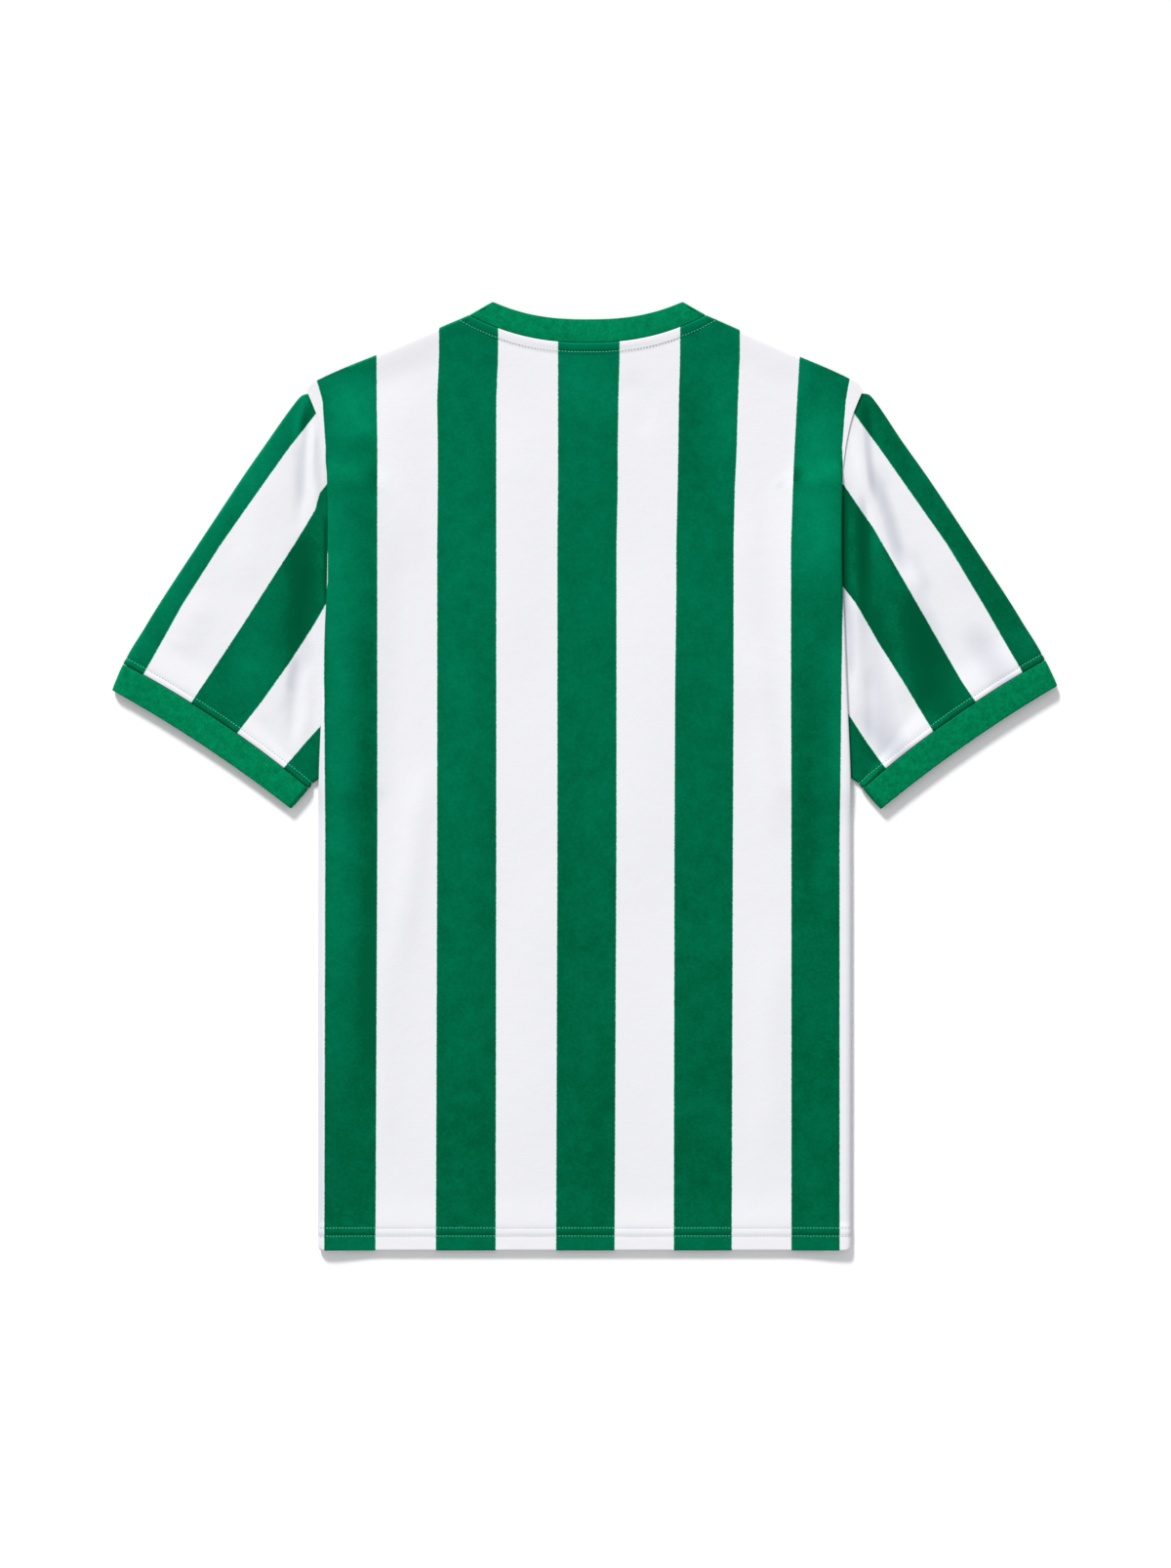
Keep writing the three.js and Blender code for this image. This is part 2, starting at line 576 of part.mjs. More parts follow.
// The collar: a ribbed ring laid flat, its back band up and its front band under it, folded at the
// two highest points. Its rows run from the neck seam to the free edge.
function collar() {
  const { radius, out } = COLLAR_FOLD;
  const top = { y: LENGTH / 2, front: NECK.y - FRONT_NECK.drop + FRONT_NECK.band };
  const fold = new THREE.Vector2(...out).normalize();
  const inset = radius + RIB / 2;
  const lower = RIB / 2;
  const upper = COLLAR_TOP - RIB / 2;
  const corner = (sign, v) => new THREE.Vector2(
    NECK_X + sign * (lerp(NECK.half, APEX.half, v) - inset * fold.x),
    lerp(NECK.y, top.y, v) - inset * fold.y,
  );
  const backAt = (t, v) => new THREE.Vector2(
    NECK_X + t * lerp(NECK.half, APEX.half, v),
    lerp(backSeamY(Math.abs(t) * NECK.half), top.y - APEX.drop * (1 - Math.abs(t) ** APEX.power), v),
  );
  const frontAt = (t, v) => {
    const drop = curve(Math.abs(t), FRONT_NECK.power);
    return new THREE.Vector2(
      NECK_X + t * lerp(NECK.half, APEX.half, v),
      lerp(NECK.y - FRONT_NECK.drop * drop, top.y - (top.y - top.front) * drop, v),
    );
  };
  const both = (steps) => [...steps.map((t) => -t).reverse(), ...steps.slice(1)];
  const rows = COLLAR_ROWS.map((v) => {
    const bend = (sign, ks) => ks.map((k) => {
      const angle = (Math.PI * k) / TUBE_FOLD_STEPS;
      const reach = radius * Math.sin(angle);
      const at = corner(sign, v);
      const side = new THREE.Vector3(
        sign * fold.x * Math.sin(angle), fold.y * Math.sin(angle), Math.cos(angle),
      );
      const z = (lower + upper) / 2 + ((upper - lower) / 2) * Math.cos(angle);
      return place(at.x + sign * fold.x * reach, at.y + fold.y * reach, z, side, RIB);
    });
    const down = UP.clone().negate();
    const left = corner(-1, v);
    const right = corner(1, v);
    return [
      place(left.x, left.y, upper, UP, RIB),
      ...both(BACK_NECK_STEPS).map((t) => backAt(t, v)).map((p) => place(p.x, p.y, upper, UP, RIB)),
      place(right.x, right.y, upper, UP, RIB),
      ...bend(1, TUBE_BENDS),
      place(right.x, right.y, lower, down, RIB),
      ...both(FRONT_NECK_STEPS).reverse().map((t) => frontAt(t, v))
        .map((p) => place(p.x, p.y, lower, down, RIB)),
      place(left.x, left.y, lower, down, RIB),
      ...bend(-1, [...TUBE_BENDS].reverse()),
    ];
  });
  return cloth('collar', rows, RIB_GREEN, true);
}

const group = new THREE.Group();
group.name = 'football_jersey';
group.add(backPanel(), frontPanel(), ...SLEEVES.flatMap(sleeveParts), collar());

export default group;
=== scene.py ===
"""The looks of a short-sleeved football jersey that lies flat with its back up.

Every sewn piece is a closed thin shell on the form of its solid, with finer creases, the relief of the
hem and seams, its striped or ribbed knit, and rows of stitches. Lengths are in millimetres unless a
name says metres. X runs across the jersey, Y from the hem to the collar, and Z up. A sleeve's own
sizes are measured outwards from the jersey's middle.
"""

import logging
import math
from collections.abc import Callable
from dataclasses import dataclass, field
from enum import Enum

import bpy
import numpy as np
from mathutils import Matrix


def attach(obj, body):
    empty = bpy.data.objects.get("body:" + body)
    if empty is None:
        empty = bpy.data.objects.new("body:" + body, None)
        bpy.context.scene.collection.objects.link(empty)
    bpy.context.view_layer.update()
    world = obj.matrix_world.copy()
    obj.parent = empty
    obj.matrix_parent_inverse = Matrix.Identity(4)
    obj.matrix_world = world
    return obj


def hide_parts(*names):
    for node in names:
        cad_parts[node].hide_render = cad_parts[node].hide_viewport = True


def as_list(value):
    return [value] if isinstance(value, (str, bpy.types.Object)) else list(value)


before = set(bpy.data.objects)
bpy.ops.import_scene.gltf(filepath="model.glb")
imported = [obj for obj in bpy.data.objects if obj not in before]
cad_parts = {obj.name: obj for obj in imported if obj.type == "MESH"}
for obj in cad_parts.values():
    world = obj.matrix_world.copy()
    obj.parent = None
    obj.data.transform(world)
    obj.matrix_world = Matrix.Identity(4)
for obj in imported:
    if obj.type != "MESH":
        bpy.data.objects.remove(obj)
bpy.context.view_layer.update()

log = logging.getLogger("jersey")
Array = np.ndarray
Reals = float | np.ndarray
Point = tuple[float, float]
Colour = tuple[float, float, float]
Edge = Callable[[float | np.ndarray], float | np.ndarray]
Socket = bpy.types.NodeSocket
# The metres in a millimetre, and the difference up to which two lengths are the same.
METRES = 0.001
SAME = 1e-6
# The share of a streak's length over which each of its ends fades.
FADE = 0.3
# How much of its side points up or down where cloth faces up or down.
FACING = 0.5
# The least share of its wall that cloth keeps at a rounded edge.
THINNEST = 0.15
# Each wave of slack cloth: its height, its lengths across and along the jersey, and its start.
RIPPLES = ((0.2, 31.0, 97.0, 0.0), (0.16, -71.0, 43.0, 1.3))
# Edges that turn further than this are shaded as sharp.
SHARP_DEGREES = 60


class Side(Enum):
    """The side of the jersey that a sleeve is on, as the sign of its X."""

    LEFT = -1
    RIGHT = 1


class Slot(Enum):
    """The record's material slots."""

    BODY = "body_cloth"
    SLEEVE = "sleeve_cloth"
    CUFF = "cuff_rib"
    COLLAR = "collar_rib"
    THREAD = "thread"


class Held(Enum):
    """How a sheet of cloth is held."""

    LAID = "laid"
    FOLDED = "folded"


def smooth(start: Reals, end: Reals, at: Reals) -> Reals:
    """Blend softly from 0 to 1 between two places.

    Args:
        start: Where the blend is 0.
        end: Where it is 1, on either side of the start.
        at: Where it is read.

    Returns:
        The blend.
    """
    share = np.clip((at - start) / (end - start), 0.0, 1.0)
    return share * share * (3.0 - 2.0 * share)


def mix(first: Reals, second: Reals, share: Reals) -> Reals:
    """Blend two values in a straight line."""
    return first + (second - first) * share


def hump(away: Reals, width: float) -> Reals:
    """A soft bell, 1 high, over a distance from its middle."""
    return np.exp(-((away / width) ** 2))


def bell(at: Reals, place: Point) -> Reals:
    """A soft bell, 1 high, at a place given by its middle and its width."""
    return hump(at - place[0], place[1])


def stack(*parts: Reals) -> Array:
    """Join coordinates, spread to one shape, along a new last axis."""
    return np.stack(np.broadcast_arrays(*parts), axis=-1)


def unit(vectors: Array) -> Array:
    """Scale vectors to length 1."""
    return vectors / np.linalg.norm(vectors, axis=-1, keepdims=True)


class Curve:
    """A smooth curve through a short table of places and values."""

    def __init__(self, *rows: Point) -> None:
        """Keep the table's rows, which are in order of their places."""
        self.places = np.array([row[0] for row in rows], float)
        self.values = np.array([row[1] for row in rows], float)

    def __call__(self, at: Reals) -> Array:
        """Read the curve.

        Args:
            at: The places to read it at. Past the table's ends it stays level.

        Returns:
            Its values there.
        """
        places, values = self.places, self.values
        last = len(places) - 1
        at = np.clip(at, places[0], places[last])
        i = np.clip(np.searchsorted(places, at) - 1, 0, last - 1)
        before = np.maximum(i - 1, 0)
        after = np.minimum(i + 2, last)
        span = places[i + 1] - places[i]
        share = (at - places[i]) / span
        slope_in = (values[i + 1] - values[before]) / (places[i + 1] - places[before])
        slope_out = (values[after] - values[i]) / (places[after] - places[i])
        bend = slope_in * share * (1 - share) ** 2 - slope_out * share**2 * (1 - share)
        return mix(values[i], values[i + 1], share**2 * (3 - 2 * share)) + span * bend


@dataclass(frozen=True)
class Streak:
    """A soft streak along a bent line: a fold, whose strength is its height, or a patch of painted light,
    lighter as painted sheen or darker as painted shade.
    """

    start: Point
    via: Point
    end: Point
    width: float
    strength: float

    def at(self, x: Array, y: Array) -> Array:
        """Read the streak.

        Args:
            x: Places across the jersey.
            y: Places along it.

        Returns:
            Its strength at each place, fading out towards its sides and ends.
        """
        nearest = np.full(np.shape(x), np.inf)
        along = np.zeros(np.shape(x))
        for half, a, b in ((0, self.start, self.via), (1, self.via, self.end)):
            dx, dy = b[0] - a[0], b[1] - a[1]
            share = np.clip(((x - a[0]) * dx + (y - a[1]) * dy) / (dx * dx + dy * dy), 0.0, 1.0)
            away = np.hypot(x - a[0] - share * dx, y - a[1] - share * dy)
            along = np.where(away < nearest, (half + share) / 2, along)
            nearest = np.minimum(away, nearest)
        fade = smooth(0.0, FADE, along) * smooth(1.0, 1.0 - FADE, along)
        return self.strength * fade * hump(nearest, self.width)


def add_object(name: str, data: bpy.types.ID) -> bpy.types.Object:
    """Put data into the scene as an object at the origin."""
    made = bpy.data.objects.new(name, data)
    bpy.context.scene.collection.objects.link(made)
    return made


def total(streaks: tuple[Streak, ...], x: Array, y: Array) -> Array:
    """Add up a set of streaks at some places."""
    return sum((streak.at(x, y) for streak in streaks), np.zeros(np.shape(x)))


def ripple(x: Array, y: Array) -> Array:
    """The slow unevenness of slack cloth."""
    waves = (np.sin(x / across + y / along + start) * high for high, across, along, start in RIPPLES)
    return sum(waves)


def pucker(x: Array) -> Array:
    """The close unevenness of a stitched hem, from -1 to 1."""
    close, sway, slow, wide, start = 4.3, 2.0, 37.0, 23.0, 0.7
    return np.sin(x / close + sway * np.sin(x / slow)) * np.sin(x / wide + start)


def thinned(wall: Reals, inside: Reals) -> Reals:
    """Round off a cloth's edge by thinning its wall.

    Args:
        wall: The full wall.
        inside: The distance from the edge.

    Returns:
        The wall there, full from half its thickness inwards.
    """
    share = np.clip(inside / (wall / 2), 0.0, 1.0)
    return wall * np.maximum(np.sqrt(1 - (1 - share) ** 2), THINNEST)


@dataclass(frozen=True)
class RibSize:
    """How thick a rib band is, how far it swells, over what distance and on which sides, and its shine, a
    brightness painted into its colour.
    """

    wall: float
    puff: float
    puffed_from: float
    # Painted light: a brightness painted into the band's colour.
    shine: float
    puff_reach: float = 6.0


@dataclass
class Shell:
    """A closed piece of cloth on a grid of places on its middle surface.

    Its rows and its places across run along the first two axes. A tube's rows are loops.
    """

    middle: Array
    side: Array
    wall: Array
    pattern: Array
    relief: Array
    # Painted light: painted sheen above 0 and painted shade below 0, even unless a piece gives its own.
    lustre: Reals = 0.2
    tube: bool = False
    joins: dict[int, Array] = field(default_factory=dict)

    def outer(self) -> Array:
        """The places on its outer face."""
        return self.middle + self.side * (self.wall / 2 + self.relief)[..., None]

    def area(self) -> float:
        """The area of the cloth, one face of it, in square metres."""
        loop = np.concatenate([self.middle, self.middle[:, :1]], axis=1) if self.tube else self.middle
        across = loop[:-1, 1:] - loop[:-1, :-1]
        along = loop[1:, :-1] - loop[:-1, :-1]
        return float(np.linalg.norm(np.cross(across, along), axis=-1).sum()) * METRES**2

    def faces(self) -> tuple[Array, Array]:
        """Join the places into faces.

        Returns:
            The corners of each face as places' numbers, and the pattern at each corner.
        """
        rows, across = self.wall.shape
        steps = across if self.tube else across - 1
        after = (np.arange(steps) + 1) % across
        left = self.pattern[:, :steps]
        right = self.pattern[:, after]
        for column, joined in self.joins.items():
            right[:, column] = joined
        number = np.arange(rows * across).reshape(rows, across)
        here, there = number[:, :steps], number[:, after]
        count = rows * across

        def quads(*corners: tuple[Array, Array]) -> tuple[Array, Array]:
            """Faces from four corners, each its numbers and its pattern."""
            numbers = np.stack([corner[0] for corner in corners], -1).reshape(-1, 4)
            return numbers, np.stack([corner[1] for corner in corners], -2).reshape(-1, 4, 2)

        a, b = (here[:-1], left[:-1]), (there[:-1], right[:-1])
        c, d = (there[1:], right[1:]), (here[1:], left[1:])
        under = [(numbers + count, pattern) for numbers, pattern in (a, d, c, b)]
        first, past = (here[0], left[0]), (there[0], right[0])
        low, lower = (here[0] + count, left[0]), (there[0] + count, right[0])
        last, beyond = (here[-1], left[-1]), (there[-1], right[-1])
        high, higher = (here[-1] + count, left[-1]), (there[-1] + count, right[-1])
        made = [
            quads(a, b, c, d),
            quads(*under),
            quads(first, low, lower, past),
            quads(last, beyond, higher, high),
        ]
        if not self.tube:
            for edge, turn in ((0, 1), (across - 1, -1)):
                up, pattern = number[:, edge], self.pattern[:, edge]
                ring = [
                    (up[:-1], pattern[:-1]),
                    (up[1:], pattern[1:]),
                    (up[1:] + count, pattern[1:]),
                    (up[:-1] + count, pattern[:-1]),
                ]
                made.append(quads(*ring[::turn]))
        return np.concatenate([m[0] for m in made]), np.concatenate([m[1] for m in made])

    def in_reverse(self) -> "Shell":
        """The same shell with its rows in the other order, for a piece on the jersey's other side."""
        lustre = np.broadcast_to(self.lustre, self.wall.shape)
        grids = (self.middle, self.side, self.wall, self.pattern, self.relief, lustre)
        joins = {column: pattern[::-1] for column, pattern in self.joins.items()}
        return Shell(*[grid[::-1] for grid in grids], self.tube, joins)

    def build(self, name: str, finish: bpy.types.Material) -> bpy.types.Object:
        """Make the shell as an object.

        Args:
            name: The piece's name.
            finish: Its material.

        Returns:
            The object, at the origin, with its pattern in the map named weave and its painted light, painted
            sheen and painted shade, in the attribute of that name.
        """
        inner = self.middle - self.side * (self.wall / 2)[..., None]
        places = np.concatenate([self.outer().reshape(-1, 3), inner.reshape(-1, 3)]) * METRES
        numbers, pattern = self.faces()
        mesh = bpy.data.meshes.new(name)
        mesh.from_pydata(places.tolist(), [], numbers.tolist())
        mesh.uv_layers.new(name="weave").data.foreach_set("uv", pattern.ravel())
        lustre = np.clip(np.broadcast_to(self.lustre, self.wall.shape), -1.0, 1.0).ravel()
        mesh.attributes.new("lustre", "FLOAT", "POINT").data.foreach_set("value", np.tile(lustre, 2))
        mesh.shade_smooth()
        mesh.set_sharp_from_angle(angle=math.radians(SHARP_DEGREES))
        mesh.materials.append(finish)
        log.info("%s: %.4f square metres of cloth", name, self.area())
        return add_object(name, mesh)


def tapered(shell: Shell, inside: Array) -> Shell:
    """Thin a flat tube's walls towards its open ends, keeping its underside down on the surface.

    Args:
        shell: The shell, whose places are moved.
        inside: The distance of each row from the nearest end.

    Returns:
        The same shell.
    """
    full = shell.wall
    shell.wall = thinned(full, inside)
    shell.middle[..., 2] -= (full - shell.wall) / 2 * (shell.side[..., 2] < -FACING)
    return shell


def ribbed(middle: Array, side: Array, v: Array, width: float, size: RibSize) -> Shell:
    """Make the shell of a flattened ring of rib knit.

    Args:
        middle: Its middle places.
        side: Their outward sides.
        v: Each row's share of the way across the band.
        width: The band's width.
        size: How thick the rib is, how far it swells and how it shines.

    Returns:
        The shell, whose pattern runs round the ring in millimetres.
    """
    inside = (np.minimum(v, 1 - v) * width)[:, None]
    relief = size.puff * smooth(0, size.puff_reach, inside) * (side[..., 2] > size.puffed_from)
    step = np.linalg.norm(np.diff(middle[v.size // 2], axis=0), axis=-1)
    around = np.concatenate([[0.0], np.cumsum(step)])
    wall = np.full(middle.shape[:2], size.wall)
    pattern = stack(around[None, :], v[:, None])
    joins = {around.size - 1: stack(around[-1] + step[-1], v)}
    return tapered(Shell(middle, side, wall, pattern, relief, size.shine, True, joins), inside)


@dataclass
class Path:
    """A row of stitches: its places, and the count of stripe edges at each."""

    places: Array
    stripes: Array

    def on_white(self) -> Array:
        """Whether each place is on a white stripe, as 0 or 1."""
        return np.floor(self.stripes) % 2


class Graph:
    """A node tree that is filled one node at a time."""

    def __init__(self, tree: bpy.types.NodeTree) -> None:
        """Start from an empty tree."""
        self.tree = tree
        tree.nodes.clear()

    def add(self, kind: str, inputs: dict | None = None, **settings: object) -> bpy.types.Node:
        """Add a node.

        Args:
            kind: The node's type.
            inputs: A value or another node's output for each of its inputs, by name or number.
            **settings: The node's own settings.

        Returns:
            The node.
        """
        node = self.tree.nodes.new(kind)
        for name, value in settings.items():
            setattr(node, name, value)
        for name, value in (inputs or {}).items():
            if isinstance(value, Socket):
                self.tree.links.new(value, node.inputs[name])
            else:
                node.inputs[name].default_value = value
        return node

    def maths(self, operation: str, *values: object) -> Socket:
        """Add a Math node and return its result."""
        return self.add("ShaderNodeMath", dict(enumerate(values)), operation=operation).outputs[0]

    def noise(self, place: Socket, size: float, detail: float = 2.0) -> Socket:
        """Add soft noise whose blotches are of a size in metres, and return its height."""
        inputs = {"Vector": place, "Scale": 1 / size, "Detail": detail, "Roughness": 0.55}
        return self.add("ShaderNodeTexNoise", inputs).outputs["Fac"]

    def blend(self, share: object, first: object, second: object, kind: str = "MIX") -> Socket:
        """Add a Mix node for two colours and return its result."""
        colours = [(*c, 1.0) if isinstance(c, tuple) else c for c in (first, second)]
        inputs = {"Factor": share, 6: colours[0], 7: colours[1]}
        return self.add("ShaderNodeMix", inputs, data_type="RGBA", blend_type=kind).outputs[2]

    def spread(self, value: Socket, ends: Point, results: Point, **settings: object) -> Socket:
        """Add a Map Range node from two ends to two results and return its result."""
        inputs = {0: value, 1: ends[0], 2: ends[1], 3: results[0], 4: results[1]}
        return self.add("ShaderNodeMapRange", inputs, **settings).outputs[0]

    def bump(self, relief: Point, height: Socket, **inputs: Socket) -> Socket:
        """Add bumps of a strength and a depth in metres, and return the surface's direction."""
        inputs |= {"Strength": relief[0], "Distance": relief[1], "Height": height}
        return self.add("ShaderNodeBump", inputs).outputs[0]

    def weave(self) -> Socket:
        """Add the map named weave and return its first value."""
        weave = self.add("ShaderNodeUVMap", uv_map="weave").outputs[0]
        return self.add("ShaderNodeSeparateXYZ", {0: weave}).outputs[0]

    def attribute(self, name: str) -> Socket:
        """Add an attribute of the mesh and return its value."""
        return self.add("ShaderNodeAttribute", attribute_name=name).outputs["Fac"]


@dataclass(frozen=True)
class Finish:
    """A material made from its own colours and sizes. The sizes are in metres."""

    name: str = "finish"

    def looks(self, graph: Graph, place: Socket) -> dict:
        """Give the inputs of its surface: here, for a plain one, none."""
        return {}

    def make(self) -> bpy.types.Material:
        """Build the material's nodes.

        Returns:
            The material.
        """
        material = bpy.data.materials.new(self.name)
        material.use_nodes = True
        graph = Graph(material.node_tree)
        place = graph.add("ShaderNodeTexCoord").outputs["Object"]
        skin = graph.add("ShaderNodeBsdfPrincipled", self.looks(graph, place))
        graph.add("ShaderNodeOutputMaterial", {0: skin.outputs[0]})
        return material


@dataclass(frozen=True)
class StripedKnit(Finish):
    """Satin polyester knit in even stripes: the weave map's whole numbers are their edges.

    The attribute named lustre is painted sheen and painted shade: above 0 it lightens the colour as a painted
    highlight, below 0 it darkens it as painted shade in hollows.
    Its metal is the green stripes' and the white ones'. Each relief is a strength and a depth.
    """

    name: str = "striped_knit"
    # Painted light: the deep and the bright green, and the grey and the full white, are shaded and lit copies
    # mixed by the painted light and by random mottle; the last tint is painted shade, multiplied in where the
    # painted light is below 0.
    deep_green: Colour = (0.0003, 0.095, 0.038)
    bright_green: Colour = (0.001, 0.26, 0.127)
    fringe: Colour = (0.3, 0.95, 0.8)
    grey_white: Colour = (0.7, 0.705, 0.74)
    white: Colour = (0.785, 0.78, 0.805)
    painted_shade_tint: Colour = (0.6, 0.62, 0.68)
    metal: Point = (0.25, 0.06)
    mottle: float = 0.011
    cloud: float = 0.05
    grain: float = 0.0024
    shares: tuple[float, float, float] = (0.45, 0.3, 0.25)
    loop: float = 0.0011
    loop_height: float = 0.7
    loop_uneven: float = 0.35
    loop_relief: Point = (0.35, 0.00012)
    wave_relief: Point = (0.5, 0.0003)
    edge: float = 0.012
    fuzz: float = 0.02
    fuzz_size: float = 0.0016
    # How far the painted light is lifted before it blends the two whites.
    white_lift: float = 0.3
    rough_ends: Point = (0.3, 0.7)
    rough: Point = (0.48, 0.6)

    def uneven(self, graph: Graph, place: Socket) -> Socket:
        """Add up the knit's grain and blotches.

        Args:
            graph: The material's nodes.
            place: The place on the jersey.

        Returns:
            Their sum, around 0.
        """
        sizes = ((self.grain, 3.0), (self.mottle, 2.0), (self.cloud, 2.0))
        grain, small, large = [
            graph.maths("MULTIPLY", graph.noise(place, *size), share)
            for size, share in zip(sizes, self.shares)
        ]
        return graph.maths("SUBTRACT", graph.maths("ADD", grain, graph.maths("ADD", small, large)), 0.5)

    def looks(self, graph: Graph, place: Socket) -> dict:
        """Give the surface's inputs.

        Args:
            graph: The material's nodes.
            place: The place on the jersey.

        Returns:
            The inputs by name.
        """
        phase = graph.maths("PINGPONG", graph.maths("SUBTRACT", graph.weave(), 0.5), 1.0)
        wander = graph.maths("SUBTRACT", graph.noise(place, self.fuzz_size), 0.5)
        fuzzy = graph.maths("ADD", phase, graph.maths("MULTIPLY", wander, self.fuzz))
        edges = (0.5 - self.edge, 0.5 + self.edge)
        is_white = graph.spread(fuzzy, edges, (0.0, 1.0), interpolation_type="SMOOTHSTEP")
        mottle = graph.noise(place, self.mottle, 3.0)
        # Painted light: the greens' tone and the whites' blend follow the painted sheen and shade, plus
        # random mottle; shade is painted shade in hollows.
        lustre = graph.attribute("lustre")
        tone = graph.maths("ADD", lustre, self.uneven(graph, place))
        green = graph.blend(tone, self.deep_green, self.bright_green)
        white = graph.blend(graph.maths("ADD", lustre, self.white_lift), self.grey_white, self.white)
        shade = graph.blend(graph.spread(lustre, (0.0, -1.0), (0.0, 1.0)), (1.0, 1.0, 1.0), self.painted_shade_tint)
        edged = graph.blend(is_white, graph.blend(is_white, green, self.fringe), white)
        stretched = graph.add("ShaderNodeMapping", {0: place, 3: (1.0, self.loop_height, 1.0)}).outputs[0]
        cells = {"Vector": stretched, "Scale": 1 / self.loop, "Randomness": self.loop_uneven}
        loops = graph.add("ShaderNodeTexVoronoi", cells).outputs["Distance"]
        knit = graph.bump(self.loop_relief, loops)
        return {
            "Base Color": graph.blend(1.0, edged, shade, "MULTIPLY"),
            "Metallic": graph.spread(is_white, (0.0, 1.0), self.metal),
            "Roughness": graph.spread(mottle, self.rough_ends, self.rough),
            "Normal": graph.bump(self.wave_relief, mottle, Normal=knit),
            "Specular IOR Level": 0.0,
        }


@dataclass(frozen=True)
class RibKnit(Finish):
    """Matte rib knit. The weave map's first value runs round the band, in millimetres."""

    name: str = "rib_knit"
    # The deep and the light green are mixed by random mottle and by the piece's painted brightness, which is
    # painted light.
    deep: Colour = (0.0006, 0.125, 0.046)
    light: Colour = (0.0012, 0.26, 0.108)
    rib: float = 2.1
    rib_share: float = 0.25
    mottle: float = 0.006
    grain: float = 0.0022
    contrast: float = 1.1
    middle_tone: float = 0.85
    relief: Point = (0.5, 0.0004)
    rough: float = 0.85

    def looks(self, graph: Graph, place: Socket) -> dict:
        """Give the surface's inputs.

        Args:
            graph: The material's nodes.
            place: The place on the jersey.

        Returns:
            The inputs by name.
        """
        ribs = graph.maths("SINE", graph.maths("MULTIPLY", graph.weave(), math.tau / self.rib))
        mottle = graph.noise(place, self.mottle, 4.0)
        grain = graph.noise(place, self.grain, 3.0)
        uneven = graph.maths("MULTIPLY", graph.maths("ADD", grain, mottle), self.contrast)
        level = graph.maths("SUBTRACT", uneven, self.middle_tone)
        # Painted light: the piece's painted brightness shifts the tone.
        tone = graph.maths("ADD", level, graph.attribute("lustre"))
        ribbed = graph.maths("MULTIPLY", ribs, self.rib_share)
        return {
            "Base Color": graph.blend(tone, self.deep, self.light),
            "Normal": graph.bump(self.relief, graph.maths("ADD", ribbed, graph.maths("ADD", mottle, grain))),
            "Roughness": self.rough,
            "Specular IOR Level": 0.0,
        }


@dataclass(frozen=True)
class Thread(Finish):
    """Sewing thread, mint on the green stripes and white on the white ones."""

    name: str = "sewing_thread"
    mint: Colour = (0.11, 0.72, 0.46)
    white: Colour = (0.62, 0.63, 0.66)
    twist: float = 0.0004
    strand_share: float = 0.35
    relief: Point = (0.4, 0.0001)
    rough: float = 0.6
    shine: float = 0.1

    def looks(self, graph: Graph, place: Socket) -> dict:
        """Give the surface's inputs.

        Args:
            graph: The material's nodes.
            place: The place on the jersey.

        Returns:
            The inputs by name.
        """
        strands = graph.noise(place, self.twist)
        dyed = graph.blend(graph.attribute("on_white"), self.mint, self.white)
        return {
            "Base Color": graph.blend(self.strand_share, dyed, strands, "MULTIPLY"),
            "Normal": graph.bump(self.relief, strands),
            "Roughness": self.rough,
            "Specular IOR Level": self.shine,
        }


@dataclass(frozen=True)
class FloorPaper(Finish):
    """Plain pale studio paper."""

    name: str = "floor_paper"
    light: Colour = (0.95, 0.95, 0.955)
    shade: Colour = (0.93, 0.93, 0.935)
    cloud: float = 0.4
    rough: float = 0.9
    shine: float = 0.05

    def looks(self, graph: Graph, place: Socket) -> dict:
        """Give the surface's inputs.

        Args:
            graph: The material's nodes.
            place: The place on the floor.

        Returns:
            The inputs by name.
        """
        colour = graph.blend(graph.noise(place, self.cloud), self.shade, self.light)
        return {"Base Color": colour, "Roughness": self.rough, "Specular IOR Level": self.shine}


@dataclass
class SideFold:
    """The back panel's side fold at a set of heights along the jersey."""

    wall: Array
    lap: Array
    radius: Array
    opened: Array
    turn: Array
    half: Array
    width: Array
    start: Array
    edge: Array
    top: Array


@dataclass(frozen=True)
class Row:
    """A panel's row: its height at the outline, and how far it is round the shoulder's turn."""

    y: float
    turned: float | None = None


